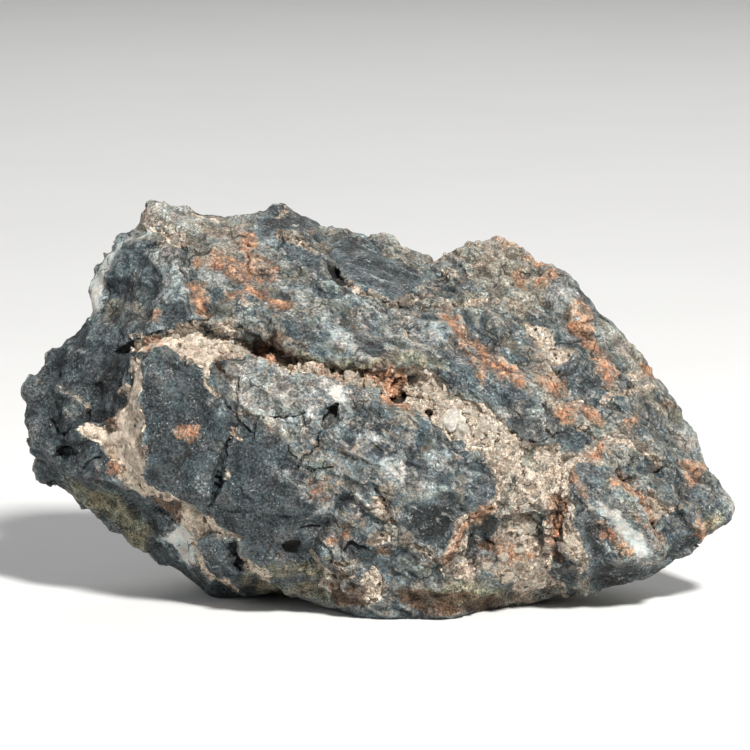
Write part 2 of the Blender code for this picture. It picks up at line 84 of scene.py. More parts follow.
def grounded(corners: np.ndarray) -> np.ndarray:
    """The same corners, with those under the floor lifted onto it."""
    return np.concatenate([corners[:, :2], np.maximum(corners[:, 2:], 0.0)], axis=1)


def smooth_step(values: np.ndarray, low: float, high: float) -> np.ndarray:
    """Rises smoothly from 0, where a value is low or less, to 1, where it is high or more."""
    share = np.clip((values - low) / (high - low), 0.0, 1.0)
    return share * share * (3.0 - 2.0 * share)


@dataclass(frozen=True)
class Roughness:
    """Repeatable noise over space, worked out for many points at once."""

    seed: int = 1
    scar_middle: float = 0.25
    facet_middle: float = 0.35

    def lattice(self, cells: np.ndarray, channel: int = 0) -> np.ndarray:
        """A random number for each cell of space.

        Args:
            cells: Whole-number cell coordinates, one row each.
            channel: Which of the cell's numbers is wanted.

        Returns:
            One number from 0 to 1 for each row.
        """
        x, y, z = (cells[..., axis].astype(np.uint64) for axis in range(3))
        mixed = x * np.uint64(73856093) ^ y * np.uint64(19349663) ^ z * np.uint64(83492791)
        mixed ^= np.uint64(self.seed * 2654435761 + channel * 97531)
        mixed ^= mixed >> np.uint64(15)
        mixed = (mixed * np.uint64(2246822519)) & np.uint64(0xFFFFFFFF)
        mixed ^= mixed >> np.uint64(13)
        mixed = (mixed * np.uint64(3266489917)) & np.uint64(0xFFFFFFFF)
        mixed ^= mixed >> np.uint64(16)
        return mixed.astype(np.float64) / float(0xFFFFFFFF)

    def waves(self, points: np.ndarray, size: float) -> np.ndarray:
        """Smooth noise whose lumps are about size across.

        Args:
            points: Places in space, one row each.
            size: The lumps' size, in the points' unit.

        Returns:
            One number from -1 to 1 for each row.
        """
        scaled = points / size + FAR
        base = np.floor(scaled)
        part = scaled - base
        part = part * part * part * (part * (part * 6.0 - 15.0) + 10.0)
        base = base.astype(np.int64)
        total = np.zeros(len(points))
        for corner in np.ndindex(2, 2, 2):
            weight = np.prod(np.where(corner, part, 1.0 - part), axis=1)
            total += weight * self.lattice(base + np.array(corner))
        return total * 2.0 - 1.0

    def layers(self, points: np.ndarray, size: float, count: int, gain: float = 0.5) -> np.ndarray:
        """Smooth noise with finer layers added.

        Args:
            points: Places in space, one row each.
            size: The coarsest lumps' size.
            count: How many layers there are, each half the size of the one before.
            gain: Each layer's strength next to the one before.

        Returns:
            One number for each row, mostly from -1 to 1.
        """
        total = np.zeros(len(points))
        for layer in range(count):
            total += gain**layer * self.waves(points + 0.37 * size * layer, size / 2**layer)
        return total / sum(gain**layer for layer in range(count)) * 1.5

    def cells(self, points: np.ndarray, size: float, extra: int) -> Iterator[tuple[np.ndarray, ...]]:
        """Goes through the 27 cells round each place.

        Args:
            points: Places in space, one row each.
            size: The cells' size, in the points' unit.
            extra: How many random numbers are wanted for each cell.

        Returns:
            For each step: the cells, the way to the places from each cell's seat in cell sizes,
            and the cells' random numbers.
        """
        scaled = points / size + FAR
        base = np.floor(scaled).astype(np.int64)
        for shift in np.ndindex(3, 3, 3):
            cell = base + np.array(shift) - 1
            drawn = np.stack([self.lattice(cell, channel) for channel in range(3 + extra)], axis=1)
            yield cell, scaled - cell - drawn[:, :3], drawn[:, 3:]

    def chips(self, points: np.ndarray, size: float) -> tuple[np.ndarray, np.ndarray, np.ndarray]:
        """Parts space into irregular cells.

        Args:
            points: Places in space, one row each.
            size: The cells' size.

        Returns:
            For each row: the way from its cell's middle in cell sizes, a second random lean
            for the cell as a vector, and how near the place is to the next cell, 0 at the join.
        """
        nearest = np.full(len(points), np.inf)
        second = nearest.copy()
        offset = np.zeros_like(points)
        owner = np.zeros(points.shape, np.int64)
        for cell, apart, _ in self.cells(points, size, 0):
            distance = np.linalg.norm(apart, axis=1)
            closer = distance < nearest
            second = np.where(closer, nearest, np.minimum(second, distance))
            nearest = np.where(closer, distance, nearest)
            offset[closer] = apart[closer]
            owner[closer] = cell[closer]
        lean = np.stack([self.lattice(owner, 3 + axis) for axis in range(3)], axis=1) - 0.5
        return offset, lean, second - nearest

    def scars(self, points: np.ndarray, size: float) -> np.ndarray:
        """Scooped faces that meet in sharp ridges, as where flakes have flown off.

        Args:
            points: Places in space, one row each.
            size: The scoops' size, in the points' unit.

        Returns:
            A height for each row, under 0 in a scoop and over 0 on a ridge.
        """
        lowest = np.full(len(points), np.inf)
        for _, apart, drawn in self.cells(points, size, 4):
            bowl = np.einsum("ij,ij->i", apart, apart + 1.2 * (drawn[:, :3] - 0.5)) + 0.3 * drawn[:, 3]
            lowest = np.minimum(lowest, bowl)
        return lowest - self.scar_middle

    def facets(self, points: np.ndarray, size: float) -> np.ndarray:
        """Flat faces that meet in straight, sharp edges, as where blocks have broken off.

        Args:
            points: Places in space, one row each.
            size: The faces' size, in the points' unit.

        Returns:
            A height for each row, under 0 at a pit's foot and over 0 on a ridge.
        """
        lowest = np.full(len(points), np.inf)
        for _, apart, drawn in self.cells(points, size, 4):
            x, y, z = apart.T
            turn = math.tau * drawn[:, 0]
            across = x * np.cos(turn) - z * np.sin(turn)
            up = x * np.sin(turn) + z * np.cos(turn)
            walls = np.maximum.reduce([np.abs(across), np.abs(up), np.abs(y)])
            lean = np.einsum("ij,ij->i", drawn[:, 1:] - 0.5, apart)
            lowest = np.minimum(lowest, walls + 0.9 * lean)
        return lowest - self.facet_middle


@dataclass(frozen=True)
class PictureView:
    """The square picture that places on the rock are given in, and the eye that sees it."""

    length: float = 0.120
    eye_distance: float = 0.800
    eye_tilt: float = math.radians(10.0)
    side: float = 750.0
    left_end: float = 16.5
    right_end: float = 740.5
    top_row: float = 196.0
    ground_row: float = 600.0
    plaster_columns: tuple[float, float] = (150.0, 260.0)
    sideways: float = 0.0
    backwards: float = 0.0

    @property
    def pixel(self) -> float:
        """The size of a picture's pixel in the rock's middle plane."""
        return self.length / (self.right_end - self.left_end)

    @property
    def target(self) -> Vector:
        """The point at the middle of the picture, in the middle plane."""
        rise = (self.ground_row - self.side / 2) * self.pixel * math.cos(self.eye_tilt)
        return Vector((self.sideways, self.backwards, rise))

    @property
    def toward_eye(self) -> Vector:
        """The direction from the rock to the eye."""
        return Vector((0.0, -math.cos(self.eye_tilt), math.sin(self.eye_tilt)))

    def facing(self, normals: np.ndarray) -> np.ndarray:
        """How far directions, one row each, face the eye: 1 right at it, -1 away from it."""
        return normals @ np.array(self.toward_eye)

    def front(self, normals: np.ndarray, low: float = -0.3, high: float = 0.25) -> np.ndarray:
        """1 for directions on the front, which face the eye by more than high, down to 0 at low."""
        return smooth_step(self.facing(normals), low, high)

    def crumbly(self, points: np.ndarray) -> np.ndarray:
        """How crumbly the crust is at points: 0 in the smooth plaster of the left end, 1 past it."""
        return smooth_step(self.seen(points)[:, 0], *self.plaster_columns)

    @property
    def eye(self) -> Vector:
        """Where the eye is."""
        return self.target + self.toward_eye * self.eye_distance

    def ray(self, column: float, row: float) -> Vector:
        """The direction from the eye through a place of the picture.

        Args:
            column: The place's column.
            row: Its row.

        Returns:
            The direction.
        """
        up = Vector((0.0, math.sin(self.eye_tilt), math.cos(self.eye_tilt)))
        middle = self.side / 2
        aside = Vector((1.0, 0.0, 0.0)) * (column - middle) * self.pixel
        return (aside + up * (middle - row) * self.pixel - self.toward_eye * self.eye_distance).normalized()

    def seen(self, points: np.ndarray) -> np.ndarray:
        """Where points show in the picture.

        Args:
            points: Places in space, one row each.

        Returns:
            A column, a row, and a depth out towards the eye in millimetres, for each point.
        """
        apart = points - np.array(self.target)
        out = apart @ np.array(self.toward_eye)
        up = apart[:, 2] * math.cos(self.eye_tilt) + apart[:, 1] * math.sin(self.eye_tilt)
        scale = self.pixel * (1.0 - out / self.eye_distance)
        middle = self.side / 2
        return np.stack([middle + apart[:, 0] / scale, middle - up / scale, out / MILLIMETRE], axis=1)

    def settled(self, points: np.ndarray) -> PictureView:
        """The same view, moved so that the rock's ends and top show where they should.

        Args:
            points: The rock's corners.

        Returns:
            The moved view.
        """
        view = self
        for _ in range(4):
            columns, rows, _ = view.seen(points).T
            aside = (columns.min() - view.left_end + columns.max() - view.right_end) / 2
            above = view.top_row - rows.min()
            view = PictureView(
                sideways=view.sideways + aside * view.pixel,
                backwards=view.backwards + above * view.pixel / math.sin(view.eye_tilt),
            )
        return view


class Field(StrEnum):
    """What is laid on the rock, each kept as a number at every corner of its mesh."""

    CRUST = "crust"
    RUST = "rust"
    BROWN = "brown"
    QUARTZ = "quartz"
    BEIGE = "beige"
    DARK = "dark"
    OLIVE = "olive"
    CRACK = "crack"
    MOTTLE = "mottle"


@dataclass(frozen=True)
class Mark:
    """Something seen at its own place on the front: an area inside its outline, or a line with a width."""

    places: Sequence[Place]
    width: float
    strength: float

    @classmethod
    def read(cls, drawing: str) -> list[Mark]:
        """Reads the marks of a drawing.

        Args:
            drawing: For each mark its name, " = " and a line's width, " at " and its strength where
                that isn't 1, a colon, and its corners as columns and rows of the picture.

        Returns:
            The marks.
        """
        form = r"(?: = ([\d.]+))?(?: at ([\d.]+))?:((?:\s+[\d.]+,[\d.]+)+)"
        marks = []
        for width, strength, path in re.findall(form, drawing):
            places = [tuple(map(float, place.split(","))) for place in path.split()]
            marks.append(cls(places, float(width or 0), float(strength or 1)))
        return marks

    def near(self, seen: np.ndarray, reach: float) -> np.ndarray:
        """The numbers of the places of the picture that are within a reach of the mark's box."""
        low, high = np.min(self.places, axis=0) - reach, np.max(self.places, axis=0) + reach
        return np.flatnonzero(((seen > low) & (seen < high)).all(axis=1))

    def depth(self, seen: np.ndarray) -> np.ndarray:
        """How far inside the mark places of the picture are.

        Args:
            seen: Columns and rows, one row of numbers each.

        Returns:
            The depth of each place in pixels, under 0 outside.
        """
        ring = self.places if self.width else [*self.places, self.places[0]]
        nearest = np.full(len(seen), np.inf)
        inside = np.zeros(len(seen), bool)
        for start, end in zip(ring, ring[1:]):
            along = np.subtract(end, start)
            apart = seen - start
            share = np.clip(apart @ along / max(along @ along, 1e-9), 0.0, 1.0)
            away = apart - share[:, None] * along
            nearest = np.minimum(nearest, np.hypot(away[:, 0], away[:, 1]))
            if along[1]:
                between = (apart[:, 1] < 0.0) != (seen[:, 1] < end[1])
                inside ^= between & (apart[:, 0] < apart[:, 1] * along[0] / along[1])
        return self.width / 2 - nearest if self.width else np.where(inside, nearest, -nearest)


DRAWINGS: dict[Field, str] = {
    Field.CRUST: """
pale block of the left seam: 163,339 181,328 192,325 206,336 212,335 216,326 229,324 238,332 230,338 240,344
    254,345 255,352 215,359 208,364 184,361 172,343
thin vein on the front block = 4.5: 194,361 207,365 204,381 209,387 216,391 219,397
left seam to the recess = 7 at 0.85: 164,339 132,348
recess beside the left end: 134,350 139,352 139,380 146,420 145,458 149,484 211,518 204,524 184,515 176,504
    164,497 150,493 141,497 131,493 120,478 118,464 110,458 100,440 88,435 84,430 92,424 116,432 113,420
    116,410 131,382
plug under the front block: 188,508 210,517 213,527 203,538 198,552 192,536 182,524 180,514
loop under the foot pebble = 7: 199,548 199,562 207,572 236,588
line over the foot pebble = 4.5: 211,520 218,529 238,537
right of the foot pebble = 6 at 0.8: 247,558 260,579 268,580
main seam: 258,352 268,350 276,362 288,366 300,363 318,364 340,374 356,376 378,367 426,367 434,373 450,395
    474,402 509,427 516,440 516,452 452,440 444,428 416,410 388,399 358,381 340,380 304,373 290,373 272,368
seam's lower branch = 6 at 0.75: 470,446 496,466 500,480 498,500
middle vein = 5 at 0.85: 519,462 521,478 518,512
spread under the rubble at 0.74: 486,448 520,444 545,448 552,466 556,496 540,500 510,500 498,478
fork: 543,448 551,442 557,442 561,451 567,456 579,455 597,446 600,451 592,458 578,460 569,470 567,482 569,494
    562,499 556,494 554,480 544,458
column of the recess at 0.85: 504,522 528,519 533,540 545,553 549,575 541,592 526,598 512,592 528,561 519,546
    505,536
foot of the recess at 0.75: 438,562 462,556 480,574 470,582 446,574
frame of the recess: 434,559 443,553 451,543 460,518 498,500 500,506 468,526 463,552 453,562 440,565
right of the rust slot: 565,500 571,502 588,564 582,578 575,572 577,560 565,548 556,546
ring of the recess pebble = 5 at 0.85: 549,553 547,570 553,584 566,592
cream wedge of the right slope: 524,323 546,326 553,333 556,341 578,354 570,361 560,364 551,362 539,346
    525,334
vee vein = 4.5: 442,300 456,309 472,302 485,300
saddle line = 2.6: 439,270 463,281
chip by the slanted plate: 345,287 353,286 366,295 366,299 356,298
lower edge of the slanted plate = 2.8 at 0.85: 367,298 381,300 390,304 412,302
white vein of the crest = 3.2: 282,240 296,243 320,253
by the right edge: 625,376 634,372 645,371 646,377 636,381 626,381
branch of the right slope = 4: 602,403 612,398 635,393 650,387
branch over the fragment = 5 at 0.9: 562,408 570,404 580,404
pale green branch = 3.6 at 0.85: 578,429 597,443 607,438 620,441
edge over the dark notch = 4.5: 624,441 638,448 659,464
wedge by the right block: 639,493 677,508 670,512 658,511 647,505
belly wedge: 374,497 385,497 398,521 391,524 384,514 374,510
belly lens at 0.9: 364,543 374,534 386,531 394,538 372,546
belly crack = 3.4: 396,524 404,539 416,545 435,560
curved vein of the belly = 4.4: 312,554 318,565 330,573 348,575
upper curved vein = 3 at 0.85: 331,559 343,564 357,560
underside patch at 0.9: 316,582 328,576 340,580 344,588 328,592 318,590
underside lump at 0.85: 363,573 374,568 383,578 384,594 374,600 362,592
left crest = 3.6 at 0.8: 150,225 159,233 181,247
left crest, upper = 2.8 at 0.75: 156,222 170,226 179,231 180,240
crest lumps = 5 at 0.8: 186,204 200,205 208,212 218,215
middle crest tick = 3 at 0.8: 276,216 284,212 296,213
white spot of the front block: 173,427 178,427 178,433 173,433
lower white spot: 223,473 228,473 228,479 223,479
pink spot: 229,430 234,430 240,438 233,438
left end vein = 2.6 at 0.72: 58,384 85,405""",
    Field.RUST: """
shoulder streak: 186,281 195,283 203,289 207,298 206,308 212,318 206,322 199,315 197,302 190,292
salmon patch at 0.95: 237,237 244,232 253,236 258,247 257,255 250,257 249,266 252,275 249,281 245,274
brown dot: 193,262 202,261 206,268 198,268
upper slope, left at 0.76: 203,264 214,258 232,260 241,268 244,286 222,270 208,270
upper slope, dot: 226,294 237,295 239,301 230,302
upper slope, drop = 4 at 0.9: 240,300 245,306
upper slope, right at 0.95: 246,286 268,294 277,300 285,296 297,302 292,310 280,313 271,308 264,299 243,298
pale orange of the slope at 0.7: 252,262 276,264 280,278 262,284 250,276
shoulder dot at 0.8: 151,311 158,311 158,318 151,318
pocket wall at 0.9: 257,348 266,344 275,360 270,368 260,360
rust lump: 368,371 378,366 396,367 403,372 407,382 402,392 394,396 380,381 370,379
lip of the main seam = 5 at 0.85: 368,383 408,408
main seam tint = 6 at 0.7: 318,367 346,379
left seam tint = 5 at 0.75: 163,338 142,345
red patch of the front block at 0.85: 178,424 186,424 190,427 196,424 198,437 190,440 184,434 178,437
diagonal vein, head: 440,314 447,311 457,327 452,333 445,326
diagonal vein = 6.5 at 0.95: 458,331 466,339 476,344 502,370 524,387
beside it = 4 at 0.75: 468,350 478,366 484,380
orange patch: 570,326 580,321 591,325 602,356 596,359 582,342 572,336
orange above it at 0.76: 577,300 583,303 590,320 580,322 574,314
orange below it at 0.85: 592,354 602,354 614,376 606,388 598,374
red edge: 640,369 648,363 657,368 659,379 642,376
coral of the slope at 0.78: 534,381 552,375 566,380 568,393 556,398 542,393
over the branch: 556,410 564,407 573,407 578,413 570,421 561,422
right of it at 0.9: 580,410 590,408 604,421 596,429
fork tint: 583,459 599,447 603,454 594,461
red marks of the right mass at 0.9: 623,423 630,415 637,416 634,425
right edge ochre at 0.85: 679,462 690,459 700,464 701,473 688,486
rusty slot: 550,499 557,496 567,498 566,512 562,524 549,541 547,530
slot's foot = 4 at 0.85: 549,540 552,550 557,557
recess frame = 5 at 0.85: 444,559 455,548 466,523 492,506
recess wall at 0.85: 486,546 502,543 534,557 510,563 490,557
recess floor = 4 at 0.66: 486,566 504,572 524,570
right block spot: 571,472 578,475 585,486 585,498 572,481
right block dot: 600,520 606,528 613,532 616,539 603,538 604,530
right block tan at 0.8: 620,544 628,544 632,554 624,558
seam of the right block at 0.9: 609,478 618,476 639,494 664,538 660,542 649,528 633,500 623,489 612,485
ochre of the lower tip: 696,517 702,517 704,528 699,540 694,535
belly stain at 0.66: 309,485 322,481 339,480 334,492 326,503 313,501
belly dot, left: 323,541 331,536 336,541 328,545
belly dot, right: 341,537 346,528 349,538 344,543
belly dot, far = 4 at 0.9: 378,549 386,551
bottom ochre = 6 at 0.85: 444,606 456,610
hump crest = 5 at 0.72: 476,238 490,236 502,239 512,246
hump crest, right = 4.5 at 0.8: 516,250 526,258 538,264 548,267
hump middle = 5 at 0.85: 516,274 524,290
hump right = 5 at 0.8: 536,288 550,280
left recess spot at 0.9: 112,464 118,462 119,472 113,474""",
    # Brown dirt; the line under the overhang is painted shade on the underside of the main seam's overhang.
    Field.BROWN: """
pocket over the main seam: 268,334 280,334 302,354 300,362 288,365 277,360 268,348
under the overhang = 5 at 0.9: 300,359 322,362 346,370 366,371 382,364
left recess, upper: 104,418 112,412 120,431 108,432
left recess, right at 0.9: 137,432 143,430 146,440 146,459 140,458
left recess line = 2.6: 102,441 122,445
porous dirt = 5 at 0.9: 216,359 217,368 222,375 232,378
dirt of the pale block = 3.4 at 0.9: 217,358 226,356 232,360
slot = 5 at 0.85: 555,500 556,514 551,528
slot, right = 3 at 0.85: 563,500 562,512
recess ridge = 4.5 at 0.8: 450,556 458,546 462,534
recess hollow at 0.85: 483,538 494,537 498,548 486,552 480,546
underside at 1.2: 334,586 352,582 366,590 372,606 350,606 334,600
bottom at 1.25: 396,588 430,592 470,592 510,598 500,612 440,614 400,606
right block seam = 2.8 at 0.8: 618,480 634,494 656,528
right mass = 4 at 0.85: 617,470 624,478 634,480
right mass, hollow at 0.72: 624,420 634,424 640,436 630,436
undercut hollow at 0.95: 152,497 164,496 178,504 185,514 180,519 166,512
notch of the right edge = 3 at 0.85: 655,400 664,406 676,408""",
    # White quartz. The undercut white, at the strength 1.3, is partly the quartz's own white and partly
    # painted light on the undercut.
    Field.QUARTZ: """
white left edge at 1.3: 137,236 148,225 157,231 151,240 128,249 120,257 107,282 98,319 88,319 85,300 80,288
    97,268 100,258
shoulder at 0.84: 140,252 170,250 184,270 188,300 160,300 164,276 150,258
left crest at 0.76: 146,204 178,203 196,214 200,230 176,234 156,224
spot of the left crest: 152,223 158,222 159,229 153,229
blue white slope at 0.8: 190,261 205,268 223,270 237,285 232,293 214,289 198,276
between the rusts at 0.72: 258,240 272,238 280,252 284,266 260,256
pale slope at 0.8: 284,284 310,289 324,304 330,316 316,318 298,304
pale streak at 0.85: 318,321 336,318 347,330 354,342 368,358 352,359 326,333
pale blue slope at 0.72: 334,302 352,302 374,308 394,318 416,324 420,333 378,326 340,310
right of it at 0.85: 423,325 440,327 445,338 430,340
pale middle at 0.76: 240,366 262,360 296,378 322,378 330,396 316,424 300,434 262,416 244,404
patch of the front block at 0.75: 204,400 216,398 228,406 226,414 210,410
bright quartz by the slot: 325,384 340,381 349,391 345,402 334,403 326,394
belly white at 0.85: 359,436 374,432 382,440 372,448 361,446
haze band = 10 at 0.78: 276,470 290,479 316,504 332,512
haze end at 0.85: 316,504 330,502 336,512 326,518 316,514
quartz spot at 0.9: 378,462 392,456 404,462 409,474 405,488 392,484 382,474
quartz speck at 0.85: 417,486 430,481 435,491 425,497
quartz by the dark lens at 0.85: 424,452 446,449 457,462 452,473 426,462
right block band: 592,494 618,509 645,534 654,547 650,558 639,560 615,534 596,508
rib at 0.85: 548,288 558,291 566,283 575,290 577,300 562,320 573,341 563,338 549,306
saddle white at 0.8: 434,264 452,262 462,268 452,272 438,270
right edge at 0.8: 684,426 694,424 712,470 720,482 708,480
tip at 0.85: 716,488 732,494 742,506 738,516 726,512
undercut white at 1.3: 151,536 166,533 172,524 182,520 192,525 198,537 200,562 192,566 182,564 168,546
underside lump at 0.8: 366,572 376,572 380,590 370,594""",
    Field.BEIGE: """
left end = 6 at 0.85: 36,352 42,374 58,384 76,398 86,408
upper left slope at 0.85: 184,226 204,220 236,228 240,262 212,262 186,256
crest, left at 0.9: 138,200 196,200 232,214 256,220 232,232 196,232 166,250 140,240
shoulder at 0.8: 108,300 118,296 140,304 150,314 130,326 108,322
upper middle at 0.72: 250,262 284,262 300,278 280,292 252,288
hump at 0.95: 466,242 500,238 528,262 548,272 546,306 524,318 500,312 486,290 470,278 458,262
saddle at 0.75: 376,234 396,242 432,262 428,276 384,252
under the vee at 0.72: 404,298 486,304 520,312 500,330 420,314
right slope at 0.9: 524,364 552,366 562,384 562,408 546,404 530,390
right edge at 0.8: 600,320 620,322 648,364 656,392 676,412 696,440 690,452 668,430 604,344
middle at 0.95: 482,444 520,440 552,450 556,500 548,540 550,590 520,600 486,592 500,560 500,492
right mass at 0.72: 600,420 622,424 646,450 612,470 600,448
pale middle at 0.75: 248,380 300,386 312,424 290,442 252,418""",
    # Dark stone. The scoop and the undercut shade are painted shade under the overhangs, and the front
    # block's dark is partly its own and partly painted shade of a face turned from the light.
    Field.DARK: """
front block at 0.93: 143,354 160,346 172,346 180,362 204,372 204,384 218,396 234,416 226,430 240,438 262,440
    286,448 284,470 302,494 320,512 320,556 300,566 262,572 246,546 214,520 152,486
dark lens of the belly at 1.4: 403,506 412,500 432,497 452,499 462,507 462,520 448,549 436,544 420,541
    408,532 400,520
over the lens at 0.9: 422,468 446,463 456,474 440,484 418,481
right of the lens at 0.9: 460,484 478,479 497,481 499,495 484,504 466,508
blue of the belly: 460,461 476,461 493,470 488,476 470,473
slanted plate at 1.1: 328,248 340,240 352,237 372,243 413,268 422,281 416,293 404,301 388,300 372,295 360,286
    347,282 337,268
crest block at 1.3: 257,222 272,203 287,206 317,219 322,228 298,236 266,241 258,233
blue patch of the crest: 280,245 288,241 319,258 327,281 304,267 291,263 283,256
under the crest at 0.9: 284,281 302,283 346,296 340,301 316,299 298,291
diagonal streak at 0.9: 320,302 334,312 346,326 362,333 379,346 388,360 372,358 338,330
hollow of the slope at 0.8: 282,322 300,324 322,336 314,344 296,338
blue diagonal block at 0.95: 438,346 452,350 480,373 500,377 519,389 524,401 508,410 470,390 452,376 440,362
band under it at 0.75: 480,396 500,404 530,400 540,408 520,418 500,414
sliver: 479,318 486,319 489,341 482,340
right sliver at 0.9: 507,327 518,330 527,346 514,341
small block at 0.85: 462,316 474,318 476,330 464,330
rib edge: 575,283 587,290 597,304 601,316 592,321 576,297
rib foot: 556,318 564,325 575,342 587,350 577,355 566,347 557,334
rib top: 548,289 556,292 556,303 549,301
round block at 0.86: 561,366 572,359 588,361 597,370 597,385 588,395 578,397 567,389
lens fragment: 512,417 537,423 548,432 541,439 524,440 513,433 509,424
green fragment at 0.95: 561,425 571,425 583,431 594,440 588,446 576,449 566,445
right block, top: 579,461 590,461 593,476 586,481 577,479 575,468
right block, left at 1.2: 574,508 590,515 611,540 615,553 600,561 588,557 581,540
right block, low at 1.2: 590,556 620,556 651,562 656,578 622,592 598,592 588,574
recess pebble: 555,566 570,559 580,566 578,580 564,587 555,579
recess block at 0.9: 481,515 492,513 499,518 499,532 484,536 479,526
recess speck: 534,512 546,510 549,519 538,521
recess low block at 0.8: 486,582 504,580 520,584 512,594 490,592
small pebble: 465,542 470,533 474,536 475,547 466,549
seam block: 404,374 416,372 418,384 408,388
belly patch at 0.85: 345,424 366,425 371,434 360,440 350,452 343,440
by the slot at 0.75: 326,404 336,398 346,440 336,460 326,440
belly, low at 0.85: 350,546 372,542 400,548 396,566 372,570 354,560
notch fragment at 0.97: 640,470 650,463 662,466 656,474 644,477
right mass at 0.75: 649,436 662,429 673,440 670,458 655,456
tip facet at 0.9: 674,488 690,483 704,495 724,506 712,513 680,501
lower tip fragment at 0.8: 672,514 690,510 699,518 690,523 678,523
green sliver: 681,524 690,523 697,528 688,531
lower right: 668,540 686,533 697,536 690,547 675,553
left end at 0.94: 14,400 36,350 82,322 104,344 130,354 132,366 120,398 88,424 84,432 100,442 118,478 96,478
    60,472 24,462
scoop at 1.6: 138,350 137,363 118,399 106,408 92,400 98,372 116,354
undercut shade: 36,465 92,479 121,482 122,493 68,483 44,474
undercut slate: 150,540 160,543 169,549 178,562 201,573 207,581 238,592 236,602 205,598 186,588 160,570
    148,556
undercut, low at 0.9: 70,500 90,508 110,522 122,536 108,534
shoulder core at 0.74: 141,261 158,265 161,280 158,297 140,299 121,296 117,284 130,274
shoulder, low at 0.79: 110,312 124,307 140,311 147,324 140,334 118,330
shoulder, right at 0.79: 160,300 176,297 189,306 187,320 170,323 159,314
shoulder top at 0.8: 144,252 156,250 164,256 156,262 146,260""",
    # Olive stains; the seam lip is painted shade on the underside of the main seam's overhang.
    Field.OLIVE: """
undercut at 0.95: 62,484 104,492 120,500 128,512 150,530 149,548 138,546 98,506 78,498
foot of the belly = 9 at 0.85: 246,578 304,568 322,574
foot of the belly, low = 9 at 0.8: 262,588 300,590 330,598
bottom: 440,586 470,580 510,592 480,608 444,612
seam lip = 7 at 0.85: 300,356 334,364 362,368 390,361 430,360 444,366
tip at 0.85: 702,516 722,516 720,528 704,532""",
    # Cracks, holes and dark lines. Their near black is painted shade, and the left shade, left overhang, seam
    # overhang, lens shadow and belly shade marks are painted shadows under overhangs.
    Field.CRACK: """
front block = 1.7: 228,440 224,447 219,475
front block, low = 1.6: 219,475 210,505 208,518
front block, upper = 1.4: 240,378 237,414 241,426
front block, slant = 1.4: 226,403 237,415 246,430 252,434
belly, level = 1.6: 252,436 250,424 258,420 266,418 282,417
belly, level, right = 1.7: 282,417 294,418 303,415
belly, drop = 1.4: 301,418 306,426
slot = 3.4: 337,402 332,413 320,434
slot, tail = 1.1: 318,436 317,446 310,450 300,459
belly, curved = 1.2: 304,466 312,472 322,470 332,466
belly, left = 1.1: 286,446 300,460 296,466
belly, low = 1.6: 302,531 318,528
belly dent: 283,547 290,543 299,545 296,553 286,555
crest gap: 326,262 331,264 344,280 347,287 342,290 335,286
salmon hole = 3.6: 246,250 250,252
salmon drip = 1.6: 245,258 246,270
shoulder edge = 1.8: 180,229 181,247 184,262 182,268 188,280
shoulder pit = 2.6: 186,293 187,301
shoulder rib = 1.2: 116,268 109,284 105,300
left overhang = 1.7: 144,337 172,329 184,324 209,321
left shade: 110,356 136,338 145,336 134,347 124,355
pale block = 1.3: 178,334 182,341
pale block, right = 1.7: 214,326 212,336
pale block, edge = 1.8: 189,359 196,362 205,362
dirt = 1.8: 217,358 216,366 222,374
slope line = 1.3: 238,331 258,337 266,344
seam overhang = 1.5: 277,362 286,364 300,360 320,362
seam overhang, right = 1.5: 332,368 350,371 366,370 384,362
rubble hole: 390,393 396,385 402,386 403,393 396,401 391,400
rubble pit: 428,409 435,411 433,418 427,415
rubble top = 2.2: 384,368 387,375
lump, right = 2.6: 468,420 468,430 472,437
lump, under = 2.2: 447,431 456,438 466,441
slope hole = 2.8: 408,336 410,337
diagonal crack = 1.4: 496,364 512,377
lens shadow = 2.2: 512,433 522,441 538,441 550,434
lens, over = 1.4: 514,415 522,419 532,417
fork side = 1.6: 547,428 552,436 556,432
right mass = 1.7: 618,424 628,438 640,449 666,467
right mass notch: 648,474 658,469 667,467 658,475
right mass, inner = 1.6: 604,449 620,461
right mass, pores = 2: 627,452 632,460 628,474
right mass, hole = 2.6: 616,469 622,478 632,479
right block seam = 1.6: 636,500 653,526
seam foot = 2: 654,530 662,541
rust slot = 2.2: 555,500 555,514 550,534
rust slot, right = 1.6: 561,500 560,514
foot pocket: 229,545 236,543 242,552 247,564 243,569 234,558
left end, cleft = 1.3: 47,417 51,427 61,436 68,430
left end, pocket = 1.5: 55,460 60,452 66,449
left end, side = 1.7: 85,408 88,422
left end, low = 1.3: 80,467 99,458
left recess hole: 136,484 141,487 141,491 137,490
undercut notch = 2.4: 172,519 184,517
belly crack = 1.7: 376,492 386,500 392,514
belly crack, low = 1.4: 402,534 408,540 420,546 430,556
belly shade = 3 at 0.8: 342,550 356,545 368,550
recess slit = 2.2: 484,537 494,543
branch pits = 1.8: 592,398 596,408
green line = 1.2: 584,434 590,438
right slope line = 1.3: 622,391 634,388
under the cream wedge = 1.5: 553,366 558,376 562,370""",
    Field.MOTTLE: """
upper mass and right: 176,190 262,196 330,220 436,250 480,230 560,262 662,360 745,500 700,545 600,600 520,615
    440,615 330,610 322,540 350,500 300,470 284,440 236,414 214,372 258,345 200,322 186,300""",
}


